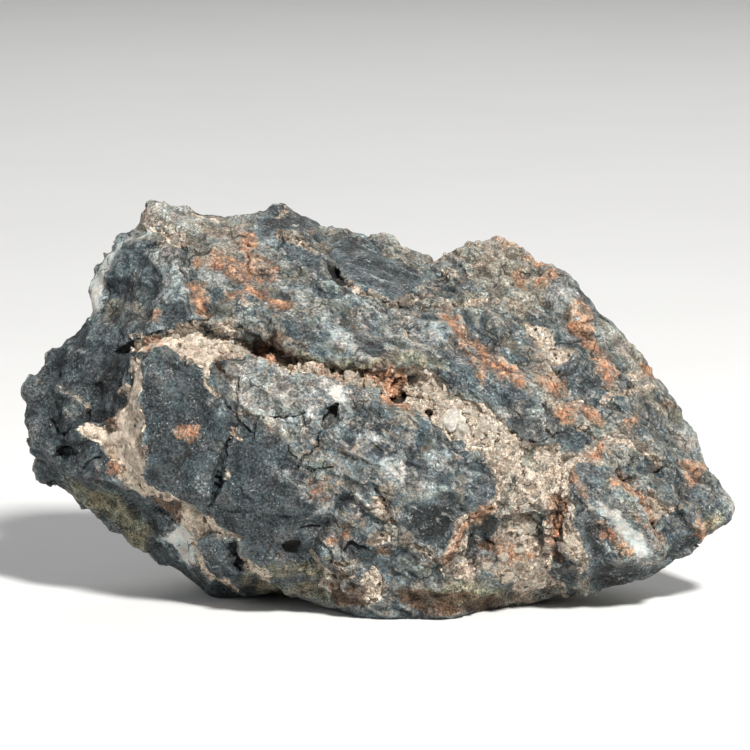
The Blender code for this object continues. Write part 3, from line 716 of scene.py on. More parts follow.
@dataclass
class Surface:
    """A triangle mesh held as arrays, with named numbers at every corner."""

    corners: np.ndarray
    triangles: np.ndarray
    numbers: dict[str, np.ndarray] = field(default_factory=dict)

    @classmethod
    def of(cls, source: bpy.types.Object, weld: float = 1e-6) -> Surface:
        """Reads an object that stands at the origin, joining its doubled corners.

        Args:
            source: The mesh object.
            weld: How near two corners are that become one.

        Returns:
            Its surface.
        """
        solid = bmesh.new()
        solid.from_mesh(source.data)
        bmesh.ops.remove_doubles(solid, verts=solid.verts, dist=weld)
        bmesh.ops.triangulate(solid, faces=solid.faces)
        solid.verts.index_update()
        corners = np.array([tuple(corner.co) for corner in solid.verts])
        triangles = np.array([[corner.index for corner in face.verts] for face in solid.faces])
        solid.free()
        return cls(corners, triangles)

    @cached_property
    def sides(self) -> tuple[np.ndarray, np.ndarray]:
        """The surface's edges.

        Returns:
            The two ends of each edge, and which edges each triangle's three sides are.
        """
        pairs = np.sort(self.triangles[:, [0, 1, 1, 2, 2, 0]].reshape(-1, 2), axis=1)
        keys = pairs[:, 0] * len(self.corners) + pairs[:, 1]
        found, edge_of = np.unique(keys, return_inverse=True)
        return np.stack(np.divmod(found, len(self.corners)), axis=1), edge_of.reshape(-1, 3)

    @cached_property
    def lengths(self) -> np.ndarray:
        """The length of each edge."""
        ends, _ = self.sides
        return np.linalg.norm(self.corners[ends[:, 0]] - self.corners[ends[:, 1]], axis=1)

    @cached_property
    def facing(self) -> np.ndarray:
        """Each triangle's outward direction, as long as twice its area."""
        a, b, c = (self.corners[self.triangles[:, corner]] for corner in range(3))
        return np.cross(b - a, c - a)

    @cached_property
    def turns(self) -> np.ndarray:
        """How far the surface turns at its edges.

        Returns:
            An angle in radians for each edge.
        """
        ends, edge_of = self.sides
        facing = self.facing / np.maximum(np.linalg.norm(self.facing, axis=1, keepdims=True), 1e-20)
        both = [np.bincount(edge_of.ravel(), np.repeat(part, 3), len(ends)) for part in facing.T]
        return 2.0 * np.arccos(np.minimum(np.linalg.norm(both, axis=0) / 2.0, 1.0))

    @cached_property
    def normals(self) -> np.ndarray:
        """The directions out of the surface.

        Returns:
            One direction for each corner.
        """
        places, count = self.triangles.ravel(), len(self.corners)
        total = np.stack([np.bincount(places, np.repeat(part, 3), count) for part in self.facing.T], axis=1)
        return total / np.maximum(np.linalg.norm(total, axis=1, keepdims=True), 1e-20)

    @property
    def places(self) -> np.ndarray:
        """The corners, in millimetres."""
        return self.corners / MILLIMETRE

    def around(self, values: np.ndarray) -> np.ndarray:
        """Averages a number over each corner's neighbours.

        Args:
            values: One row of numbers for each corner.

        Returns:
            The averages, in the same form.
        """
        ends, _ = self.sides
        count = np.bincount(ends.ravel(), minlength=len(self.corners))
        total = np.zeros(values.shape)
        for column, sums in zip(values.T, total.T):
            for here, there in (ends.T, ends.T[::-1]):
                sums += np.bincount(here, column[there], len(values))
        return total / count[:, None]

    def refined(self, longest: np.ndarray) -> Surface:
        """Halves every edge, once, that is longer than an edge may be at its corners."""
        return self.halved(self.lengths > longest[self.sides[0]].mean(axis=1))

    def halved(self, chosen: np.ndarray) -> Surface:
        """Halves some edges.

        Args:
            chosen: Whether each edge is halved.

        Returns:
            The finer surface.
        """
        ends, edge_of = self.sides
        middles = np.full(len(ends), -1)
        middles[chosen] = len(self.corners) + np.arange(chosen.sum())
        cut = ends[chosen]
        corners = np.concatenate([self.corners, self.corners[cut].mean(axis=1)])
        numbers = {
            name: np.concatenate([values, values[cut].mean(axis=1)])
            for name, values in self.numbers.items()
        }
        return Surface(corners, self.parted(middles[edge_of]), numbers)

    def parted(self, middles: np.ndarray) -> np.ndarray:
        """Parts each triangle at the middles of its halved sides.

        Args:
            middles: The corner at the middle of each side, or -1 where it is whole.

        Returns:
            The corners of the new triangles.
        """
        made = [self.triangles[(middles < 0).all(axis=1)]]
        for turn in range(3):
            a, b, c = np.roll(self.triangles, -turn, axis=1).T
            ab, bc, ca = np.roll(middles, -turn, axis=1).T
            one = (ab >= 0) & (bc < 0) & (ca < 0)
            two = (ab >= 0) & (bc >= 0) & (ca < 0)
            made += [np.stack(corners, axis=1)[one] for corners in ((a, ab, c), (ab, b, c))]
            made += [np.stack(corners, axis=1)[two] for corners in ((a, ab, bc), (ab, b, bc), (a, bc, c))]
        a, b, c = self.triangles.T
        ab, bc, ca = middles.T
        every = (middles >= 0).all(axis=1)
        made += [
            np.stack(corners, axis=1)[every]
            for corners in ((a, ab, ca), (ab, b, bc), (ca, bc, c), (ab, bc, ca))
        ]
        return np.concatenate(made)

    def moved(self, way: np.ndarray) -> Surface:
        """The same surface, with each corner moved its way, but none through the floor."""
        return Surface(grounded(self.corners + way), self.triangles, self.numbers)

    def raised(self, height: np.ndarray) -> Surface:
        """The same surface, with each corner moved out by its height in millimetres."""
        return self.moved(self.normals * height[:, None] * MILLIMETRE)

    def eased(self, rounds: int, share: float = 0.5) -> Surface:
        """Rounds the surface off, leaving its flat foot flat.

        Args:
            rounds: How many times each corner moves.
            share: How far it moves towards the middle of its neighbours each time.

        Returns:
            The rounded surface.
        """
        surface = self
        standing = self.corners[:, 2] < 0.02 * MILLIMETRE
        for _ in range(rounds):
            way = (surface.around(surface.corners) - surface.corners) * share
            way[standing, 2] = 0.0
            surface = surface.moved(way)
        return surface

    def hollows(self, rounds: int) -> np.ndarray:
        """How far in millimetres each corner lies under the surface rounded off in so many rounds."""
        way = self.eased(rounds, 0.7).corners - self.corners
        return np.einsum("ij,ij->i", way, self.normals) / MILLIMETRE

    def part(self, wanted: np.ndarray) -> Surface:
        """Takes out some of the triangles.

        Args:
            wanted: Whether each triangle is taken.

        Returns:
            A surface of only those.
        """
        kept, renamed = np.unique(self.triangles[wanted], return_inverse=True)
        numbers = {name: values[kept] for name, values in self.numbers.items()}
        return Surface(self.corners[kept], renamed.reshape(-1, 3), numbers)

    def closed_under(self, thickness: float) -> Surface:
        """Gives an open surface an underside and walls.

        Args:
            thickness: How far the underside lies below.

        Returns:
            The closed body.
        """
        count = len(self.corners)
        ends, edge_of = self.sides
        uses = np.bincount(edge_of.ravel(), minlength=len(ends))
        lower = self.triangles[:, ::-1] + count
        walls = []
        for side in range(3):
            open_side = uses[edge_of[:, side]] == 1
            a, b = self.triangles[open_side, side], self.triangles[open_side, (side + 1) % 3]
            walls += [np.stack([b, a, a + count], axis=1), np.stack([b, a + count, b + count], axis=1)]
        corners = grounded(np.concatenate([self.corners, self.corners - self.normals * thickness]))
        numbers = {name: np.tile(values, 2) for name, values in self.numbers.items()}
        return Surface(corners, np.concatenate([self.triangles, lower, *walls]), numbers)

    def shown(self, name: str, material: bpy.types.Material, crease: float = 180.0) -> bpy.types.Object:
        """Puts the surface in the scene.

        Args:
            name: The piece's name.
            material: Its finish.
            crease: The least turn between two faces that meet in a sharp edge, in degrees.

        Returns:
            The new object, smooth shaded.
        """
        mesh = bpy.data.meshes.new(name)
        mesh.from_pydata(self.corners.tolist(), [], self.triangles.tolist())
        for number, values in self.numbers.items():
            layer = mesh.attributes.new(number, "FLOAT", "POINT")
            layer.data.foreach_set("value", values.astype(np.float32))
        mesh.shade_smooth()
        mesh.set_sharp_from_angle(angle=math.radians(crease))
        mesh.materials.append(material)
        piece = bpy.data.objects.new(name, mesh)
        bpy.context.scene.collection.objects.link(piece)
        return piece


@dataclass(frozen=True)
class FieldPainter:
    """Works out every field at places of the rock: by the picture on the front, by rule elsewhere.

    A field counts, in the picture's pixels, how far inside a mark a place is. A mark of the strength
    half_shown or less doesn't get past its own edge.
    """

    view: PictureView
    noise: Roughness = Roughness(11)
    furthest: float = -14.0
    fullest: float = 5.0
    reach: float = 20.0
    half_shown: float = 0.75
    wander: float = 3.0
    fine_wander: float = 1.5

    @cached_property
    def marks(self) -> dict[Field, list[Mark]]:
        """The marks of each field."""
        return {kind: Mark.read(drawing) for kind, drawing in DRAWINGS.items()}

    def fields(self, corners: np.ndarray, normals: np.ndarray) -> dict[str, np.ndarray]:
        """Works out all the fields.

        Args:
            corners: Places on the rock.
            normals: The rock's outward direction at each.

        Returns:
            Each field's name and its number at each place.
        """
        front = self.view.front(normals, -0.15, 0.08)
        elsewhere = self.by_rule(corners / MILLIMETRE)
        seen = self.wandered(corners)
        found = {}
        for kind in Field:
            share = front if kind is not Field.CRACK else np.minimum(front * 1.6, 1.0)
            found[kind] = self.drawn(kind, seen) * share + elsewhere[kind] * (1.0 - share)
        return found

    def cracks(self, corners: np.ndarray) -> np.ndarray:
        """The number of the cracks' field at places of the rock, as the front shows it."""
        return self.drawn(Field.CRACK, self.wandered(corners))

    def wandered(self, corners: np.ndarray) -> np.ndarray:
        """Where places show in the picture, pushed about so that the marks' edges are ragged.

        Args:
            corners: Places on the rock.

        Returns:
            A column and a row for each place.
        """
        places = corners / MILLIMETRE
        seen = self.view.seen(corners)[:, :2].copy()
        for axis, shift in enumerate((0.0, 40.0)):
            seen[:, axis] += self.wander * self.noise.layers(places + shift, 3.2, 2)
            seen[:, axis] += self.fine_wander * self.noise.waves(places + shift + 7.0, 0.8)
        return seen

    def drawn(self, kind: Field, seen: np.ndarray) -> np.ndarray:
        """How far inside the nearest of a field's marks places are.

        Args:
            kind: The field.
            seen: Columns and rows.

        Returns:
            The depth of each place in pixels, less where a mark is faint.
        """
        deepest = np.full(len(seen), self.furthest)
        for mark in self.marks[kind]:
            near = mark.near(seen, self.reach)
            most = (mark.strength - self.half_shown) * self.fullest * 4.0
            deepest[near] = np.maximum(deepest[near], np.minimum(mark.depth(seen[near]), most))
        return deepest

    def by_rule(self, places: np.ndarray) -> dict[Field, np.ndarray]:
        """Carries the same rock round the sides and the back, which the picture doesn't show.

        Args:
            places: Places on the rock, in millimetres.

        Returns:
            Each field's number at each place.
        """
        noise = self.noise
        x, y, z = places.T
        sheet = z + 0.26 * x - 36.0 + 4.5 * noise.layers(places, 17.0, 3)
        lower_sheet = z + 0.1 * x - 12.5 + 0.12 * y + 3.0 * noise.layers(places + 50.0, 13.0, 3)
        cross = x * 0.8 - z * 0.5 + 3.0 + 5.0 * noise.layers(places + 90.0, 19.0, 3)
        swelling = noise.layers(places + 20.0, 9.0, 2)
        seams = np.maximum.reduce([
            0.7 + 2.0 * swelling - np.abs(sheet),
            0.2 + 1.5 * swelling - np.abs(lower_sheet),
            0.0 + 1.0 * swelling - np.abs(cross),
            4.0 * (noise.layers(places + 33.0, 10.0, 3) - 0.62),
        ])
        _, lean, join = noise.chips(places, 15.0)
        _, small_lean, small_join = noise.chips(places + 300.0, 7.0)
        blocks = np.maximum(
            np.where(lean[:, 0] > 0.05, join * 40.0 - 2.0, -8.0),
            np.where(small_lean[:, 0] > 0.25, small_join * 22.0 - 2.0, -8.0),
        )
        breaks = 1.0 - 70.0 * np.abs(noise.layers(places + 120.0, 21.0, 4))
        held = 14.0 * (noise.layers(places + 160.0, 12.0, 2) - 0.1)
        rusty = 20.0 * (noise.layers(places + 70.0, 6.0, 4, 0.65) - 0.6)
        dirty = 16.0 * (noise.layers(places + 400.0, 4.0, 3, 0.65) - 0.75)
        rule = {
            Field.CRUST: seams * 6.0,
            Field.RUST: rusty + np.clip(seams * 3.0, -3.0, 3.0),
            Field.BROWN: dirty + np.clip(seams * 3.0, -4.0, 4.0),
            Field.QUARTZ: 20.0 * (noise.layers(places + 210.0, 8.0, 4, 0.6) - 0.42),
            Field.BEIGE: 18.0 * (noise.layers(places + 440.0, 12.0, 3, 0.6) - 0.3),
            Field.DARK: blocks,
            Field.OLIVE: 0.8 * (8.0 - z) + 6.0 * noise.layers(places + 240.0, 9.0, 2),
            Field.CRACK: np.minimum(breaks, held),
            Field.MOTTLE: 14.0 * (noise.layers(places + 270.0, 24.0, 2) + 0.25),
        }
        return {kind: np.clip(values, self.furthest, self.fullest) for kind, values in rule.items()}


@dataclass
class RockBody:
    """The lump itself: its broken surface, from blocks down to chips and grain."""

    source: bpy.types.Object
    painter: FieldPainter
    noise: Roughness = Roughness(3)
    stages: tuple[float, ...] = (2.4, 1.7, 1.35)
    front_edge: float = 0.0014
    back_edge: float = 0.0021
    crack_edge: float = 0.00034
    crease_edge: float = 0.00032
    crease_rounds: int = 4
    most_triangles: int = 196_000
    crease: float = 24.0
    crack_depth: float = 0.7
    seam_depth: float = 0.45
    block_height: float = 3.2
    end_height: float = 3.0
    hackle_height: float = 1.9
    flake_height: float = 1.2
    scoop_height: float = 0.7
    chip_height: float = 0.55
    ledge_height: float = 0.7
    ledge_size: float = 5.2
    shear_length: float = 2.3
    shear_depth: float = 1.4
    halvings: int = 6
    hollow_rounds: int = 12

    def surface(self) -> Surface:
        """Builds the surface.

        Returns:
            The finished surface, with its fields.
        """
        surface = Surface.of(self.source)
        for longest in self.stages:
            surface = self.fine_enough(surface, longest * MILLIMETRE).eased(1)
        for _ in range(self.halvings):
            surface = surface.refined(self.edge_lengths(surface))
        surface.numbers = self.painter.fields(surface.corners, surface.normals)
        for left in range(self.crease_rounds, 0, -1):
            room = max(self.most_triangles - len(surface.triangles), 0)
            surface = self.sharper(surface, room // (2 * left) + 1)
        surface.numbers = self.painter.fields(surface.corners, surface.normals)
        surface = self.broken(surface)
        surface.numbers["hollow"] = surface.hollows(self.hollow_rounds)
        return surface

    def broken(self, surface: Surface) -> Surface:
        """The eased surface with its relief."""
        return surface.raised(self.relief(surface))

    def sharper(self, surface: Surface, room: int) -> Surface:
        """Halves the edges where the broken surface turns most, the front's first.

        Args:
            surface: The eased surface, with its fields.
            room: How many edges may be halved.

        Returns:
            The finer surface.
        """
        broken = self.broken(surface)
        ends, _ = broken.sides
        sharpest = np.zeros(len(surface.corners))
        np.maximum.at(sharpest, ends.ravel(), np.repeat(broken.turns, 2))
        sharpest *= 0.4 + 0.6 * self.painter.view.front(surface.normals)
        need = sharpest[ends].mean(axis=1) * broken.lengths * (broken.lengths > 2.0 * self.crease_edge)
        return surface.halved(need > np.partition(need, -room)[-room])

    def fine_enough(self, surface: Surface, longest: float) -> Surface:
        """Halves edges until none is too long.

        Args:
            surface: The surface to refine.
            longest: The longest edge.

        Returns:
            The finer surface.
        """
        while (surface.lengths > longest).any():
            surface = surface.halved(surface.lengths > longest)
        return surface

    def edge_lengths(self, surface: Surface) -> np.ndarray:
        """How long an edge may be at each corner: shorter on the front, shortest at a crack.

        Args:
            surface: The surface.

        Returns:
            The lengths, in metres.
        """
        front = self.painter.view.front(surface.normals)
        lengths = self.back_edge + (self.front_edge - self.back_edge) * front
        near = smooth_step(self.painter.cracks(surface.corners), -2.6, -1.0) * front
        return lengths + (self.crack_edge - lengths) * near

    def relief(self, surface: Surface) -> np.ndarray:
        """How far each corner stands out of the eased surface.

        Args:
            surface: The eased surface, with its fields.

        Returns:
            The heights, in millimetres.
        """
        places = surface.places
        numbers = surface.numbers
        crust = smooth_step(numbers[Field.CRUST], -1.5, 1.5)
        mottle = smooth_step(numbers[Field.MOTTLE], -6.0, 4.0)
        bent = places + 0.35 * self.noise.layers(places, 4.0, 2)[:, None]
        sheared = self.sheared(bent)
        slate = smooth_step(np.maximum(numbers[Field.DARK], numbers[Field.QUARTZ]), -2.0, 3.0)
        end = smooth_step(-places[:, 0], 37.0, 42.0) * smooth_step(-places[:, 2], -46.0, -40.0)
        bold = 1.0 - np.maximum(0.65 * slate * (1.0 - end), 0.4 * end)
        facing = np.abs(self.painter.view.facing(surface.normals))
        chipped = 0.4 + 0.6 * smooth_step(facing, 0.05, 0.4)
        facets, scars = self.noise.facets, self.noise.scars
        height = facets(bent, 9.0) * self.block_height * np.maximum(bold, 1.3 * end)
        height += facets(bent + 30.0, 5.5) * self.end_height * end
        height -= facets(sheared + 60.0, 4.6) * self.hackle_height * bold
        height += scars(sheared + 100.0, 2.6) * self.flake_height * mottle * bold * chipped
        height += scars(bent + 200.0, 3.4) * self.scoop_height * (1.0 - mottle) * bold * chipped
        height += scars(bent + 300.0, 1.5) * self.chip_height * (1.0 - 0.75 * slate) * chipped
        height += self.ledges(bent) * self.ledge_height * mottle * bold * chipped
        height += self.noise.layers(places, 1.3, 2, 0.7) * (0.03 + 0.08 * mottle)
        height *= 1.0 - 0.55 * crust
        height -= self.seam_depth * crust
        height -= self.crack_depth * smooth_step(numbers[Field.CRACK], -0.9, 0.7)
        return height * smooth_step(places[:, 2], 0.0, 1.2)

    def sheared(self, places: np.ndarray) -> np.ndarray:
        """Turns and shrinks places so that shapes come out long, down to the right.

        Args:
            places: Places in millimetres.

        Returns:
            The places to read noise at.
        """
        x, y, z = places.T
        along, across = 0.8 * x - 0.6 * z, 0.6 * x + 0.8 * z
        return np.stack([along / self.shear_length, across, y / self.shear_depth], axis=1)

    def ledges(self, places: np.ndarray) -> np.ndarray:
        """Steps that follow the shear, each with a sharp lip over the one below.

        Args:
            places: Places in millimetres.

        Returns:
            The height of each place, up to 1 at a lip.
        """
        x, y, z = places.T
        across = (0.6 * x + 0.8 * z + 0.3 * y) / self.ledge_size
        across += 1.1 * self.noise.layers(places + 77.0, 11.0, 3)
        step = across % 1.0
        there = smooth_step(self.noise.waves(places, 9.0), -0.5, 0.4)
        return (1.0 - step) * smooth_step(step, 0.0, 0.13) * there

    def build(self, finish: StoneFinish) -> tuple[Surface, bpy.types.Object]:
        """Builds and dresses the piece, and gives the surface too, for what lies on it."""
        surface = self.surface()
        return surface, surface.shown("rock_body", finish.material(), self.crease)


@dataclass
class SeamCrust:
    """The crumbly, porous crust that fills the seams."""

    painter: FieldPainter
    noise: Roughness = Roughness(7)
    front_edge: float = 0.00042
    back_edge: float = 0.0011
    rise: float = 0.34
    sink: float = 0.4
    thickness: float = 0.0006
    pore_size: float = 1.2
    groove_columns: tuple[float, float] = (256.0, 420.0)
    fill: float = 1.2
    pore_depth: float = 0.6
    halvings: int = 3
    hollow_rounds: int = 8
    field_edge: float = -2.0
    crust_edge: float = -2.5

    def build(self, rock: Surface, finish: CrustFinish) -> tuple[Surface, bpy.types.Object]:
        """Builds and dresses the piece.

        Args:
            rock: The surface that it lies on.
            finish: The crust's finish.

        Returns:
            The open crust surface, for the crumbs on it, and the piece.
        """
        cover = rock.numbers[Field.CRUST]
        bed = rock.part((cover[rock.triangles] > self.field_edge).any(axis=1))
        for _ in range(self.halvings):
            front = self.painter.view.front(bed.normals, high=0.2)
            bed = bed.refined(self.back_edge + (self.front_edge - self.back_edge) * front)
        places = bed.places
        inside = self.inside(bed, places)
        crumbly = self.painter.view.crumbly(bed.corners)
        pores = self.pores(places) * (0.15 + 0.85 * crumbly)
        height = self.relief(places, inside, crumbly)
        height -= self.pore_depth * pores * smooth_step(inside, 0.0, 3.0)
        height += self.fill * self.filled(bed) * smooth_step(inside, 0.0, 4.0)
        crust = bed.raised(height)
        hollow = crust.hollows(self.hollow_rounds)
        crust.numbers.update(inside=inside, pore=pores, crumbly=crumbly, hollow=hollow)
        crust = crust.part((inside[crust.triangles] > self.crust_edge).any(axis=1))
        return crust, crust.closed_under(self.thickness).shown("seam_crust", finish.material(), CREASE)

    def inside(self, bed: Surface, places: np.ndarray) -> np.ndarray:
        """How far inside the crust places are, with a ragged edge and the stones that it leaves bare.

        Args:
            bed: The rock's surface at the seams, with its fields.
            places: Its corners, in millimetres.

        Returns:
            The depth of each place, in the picture's pixels.
        """
        depth = bed.numbers[Field.CRUST]
        ragged = 2.2 * self.noise.waves(places, 1.3) + 1.4 * self.noise.waves(places + 9.0, 0.55)
        bent = places + 0.5 * self.noise.layers(places, 1.6, 2)[:, None]
        _, lean, join = self.noise.chips(bent + 60.0, 3.1)
        stones = np.where(lean[:, 0] > 0.08, 1.5 - 13.0 * join * smooth_step(-depth, -5.0, -3.0), 9.0)
        bare = 2.0 - 1.6 * np.maximum(bed.numbers[Field.DARK], bed.numbers[Field.CRACK])
        return np.minimum.reduce([depth + ragged, stones + ragged, bare + ragged])

    def filled(self, bed: Surface) -> np.ndarray:
        """Where the crust fills the groove under the overhang.

        Args:
            bed: The rock's surface at the seams.

        Returns:
            1 in the groove, 0 away from it.
        """
        column, row = self.painter.view.seen(bed.corners)[:, :2].T
        start, end = self.groove_columns
        along = smooth_step(column, start, start + 20.0) * smooth_step(-column, -end, 30.0 - end)
        return along * smooth_step(-row, -400.0, -385.0)

    def relief(self, places: np.ndarray, inside: np.ndarray, crumbly: np.ndarray) -> np.ndarray:
        """How far the crust stands above its bed.

        Args:
            places: Places in millimetres.
            inside: How far inside the seam each place is, in pixels.
            crumbly: 0 where it is smooth plaster, 1 where it is all crumbs.

        Returns:
            The heights in millimetres, under 0 outside the seam.
        """
        full = smooth_step(inside, -0.5, 3.5)
        blocks = self.noise.facets(places + 0.3 * self.noise.waves(places, 2.0)[:, None], 2.6)
        lumps = 1.0 - 2.0 * np.abs(self.noise.layers(places, 1.5, 2))
        grit = self.noise.waves(places + 5.0, 0.5)
        height = full * (self.rise * (0.6 + 0.7 * lumps * crumbly) + 0.22 * grit * crumbly)
        height -= full * blocks * (0.35 + 1.0 * crumbly)
        return height - self.sink * (1.0 - smooth_step(inside, -1.6, 0.6))

    def pores(self, places: np.ndarray) -> np.ndarray:
        """Where the crust's holes are.

        Args:
            places: Places in millimetres.

        Returns:
            1 in a hole, 0 away from it.
        """
        bent = places + 0.35 * self.noise.waves(places, 0.9)[:, None]
        offset, lean, _ = self.noise.chips(bent, self.pore_size)
        reach = 0.18 + 0.36 * (lean[:, 2] + 0.5)
        apart = np.linalg.norm(offset, axis=1)
        return (1.0 - smooth_step(apart, 0.5 * reach, reach)) * (lean[:, 1] > 0.16)


@dataclass
class Lump:
    """A loose piece held in a seam, placed by where the picture shows it."""

    column: float
    row: float
    size: float
    tone: float
    height: float = 0.7


@dataclass
class Grain:
    """One grain: where it lies, its size, form and colour."""

    seat: np.ndarray
    normal: np.ndarray
    size: float
    stretch: tuple[float, float, float]
    spin: float
    proud: float
    tone: float

    def around(self) -> np.ndarray:
        """The grain's own directions, with its flat side along the ground.

        Returns:
            Three rows: two directions along the ground, then the normal.
        """
        aside = np.cross(self.normal, (0.31, 0.52, 0.79))
        aside /= np.linalg.norm(aside)
        ahead = np.cross(self.normal, aside)
        first = math.cos(self.spin) * aside + math.sin(self.spin) * ahead
        return np.stack([first, np.cross(self.normal, first), self.normal])


@dataclass
class Grains:
    """Many small deformed grains, made as one mesh from a round blank."""

    noise: Roughness
    halvings: int
    cuts: int = 11
    cut_depths: tuple[float, float] = (0.5, 0.95)
    furthest: float = 1.2

    def blank(self) -> tuple[np.ndarray, np.ndarray]:
        """The round blank.

        Returns:
            The corners and the triangles of a ball of radius 1.
        """
        ball = bmesh.new()
        bmesh.ops.create_icosphere(ball, subdivisions=self.halvings, radius=1.0)
        corners = np.array([tuple(corner.co) for corner in ball.verts])
        triangles = np.array([[corner.index for corner in face.verts] for face in ball.faces])
        ball.free()
        return corners, triangles

    def joined(self, grains: Sequence[Grain]) -> Surface:
        """Forms the grains and joins them.

        Args:
            grains: The grains.

        Returns:
            One surface of all of them, with their tones.
        """
        ball, triangles = self.blank()
        count = len(grains)
        apart = 17.0 * np.arange(count)[:, None, None]
        bumps = self.noise.waves((ball * 2.2 + apart).reshape(-1, 3), 1.0).reshape(count, -1)
        radius = (self.broken(ball, count) * (1.0 + 0.14 * bumps))[..., None]
        local = ball * radius * np.array([grain.stretch for grain in grains])[:, None]
        local[..., 2] += np.array([grain.proud for grain in grains])[:, None]
        frames = np.stack([grain.around() * grain.size for grain in grains])
        seats = np.array([grain.seat for grain in grains])
        corners = grounded((np.einsum("gci,gij->gcj", local, frames) + seats[:, None]).reshape(-1, 3))
        starts = len(ball) * np.arange(count)[:, None, None]
        tones = np.repeat([grain.tone for grain in grains], len(ball))
        return Surface(corners, (triangles + starts).reshape(-1, 3), {"tone": tones})

    def broken(self, ball: np.ndarray, count: int) -> np.ndarray:
        """Cuts flat sides on the grains.

        Args:
            ball: The blank's corners.
            count: How many grains there are.

        Returns:
            How far each corner of each grain lies from its middle.
        """
        draw = np.random.default_rng(self.noise.seed)
        cuts = draw.normal(size=(count, self.cuts, 3))
        cuts /= np.linalg.norm(cuts, axis=2, keepdims=True)
        depth = draw.uniform(*self.cut_depths, (count, self.cuts, 1))
        facing = np.maximum(np.einsum("gki,ci->gkc", cuts, ball), 0.05)
        return np.minimum((depth / facing).min(axis=1), self.furthest)


@dataclass
class CrustCrumbs:
    """Loose crumbs that lie on the crust, fewest in the smooth plaster at the left end."""

    view: PictureView
    count: int = 1500
    smallest: float = 0.12
    largest: float = 0.62
    pale_tones: tuple[float, float] = (0.5, 1.0)
    rusty_tones: tuple[float, float] = (0.22, 0.5)
    dark_tones: tuple[float, float] = (0.0, 0.2)
    dark_share: float = 0.09
    seed: int = 23

    def build(self, crust: Surface, finish: CrumbFinish) -> bpy.types.Object:
        """Builds and dresses the piece.

        Args:
            crust: The open crust surface.
            finish: The crumbs' finish.

        Returns:
            The piece.
        """
        draw = np.random.default_rng(self.seed)
        first = crust.corners[crust.triangles[:, 0]]
        area = np.linalg.norm(crust.facing, axis=1)
        inside = crust.numbers["inside"][crust.triangles].min(axis=1)
        crumbly = 0.15 + 0.85 * self.view.crumbly(first)
        weight = area * crumbly * smooth_step(inside, 0.0, 3.0) * (first[:, 2] > 0.8 * MILLIMETRE)
        faces = draw.choice(len(area), self.count, p=weight / weight.sum())
        grains = [self.crumb(crust, crust.triangles[face], draw) for face in faces]
        return Grains(Roughness(self.seed), 2).joined(grains).shown("crust_crumbs", finish.material(), CREASE)

    def crumb(self, crust: Surface, ring: np.ndarray, draw: np.random.Generator) -> Grain:
        """Draws a crumb.

        Args:
            crust: The crust's surface.
            ring: The corners of the triangle that it lies on.
            draw: Where the random numbers come from.

        Returns:
            The crumb.
        """
        seat = draw.dirichlet((1.0, 1.0, 1.0)) @ crust.corners[ring]
        size = self.smallest * (self.largest / self.smallest) ** (draw.random() ** 1.6)
        stretch = (1.0, draw.uniform(0.6, 1.0), draw.uniform(0.5, 0.9))
        rusty = crust.numbers[Field.RUST][ring[0]] > draw.uniform(-3.0, 2.0)
        tone = draw.uniform(*(self.rusty_tones if rusty else self.pale_tones))
        tone = draw.uniform(*self.dark_tones) if draw.random() < self.dark_share else tone
        spin, proud = draw.uniform(0, math.tau), draw.uniform(-0.3, 0.3)
        return Grain(seat, crust.normals[ring[0]], size * MILLIMETRE, stretch, spin, proud, tone)


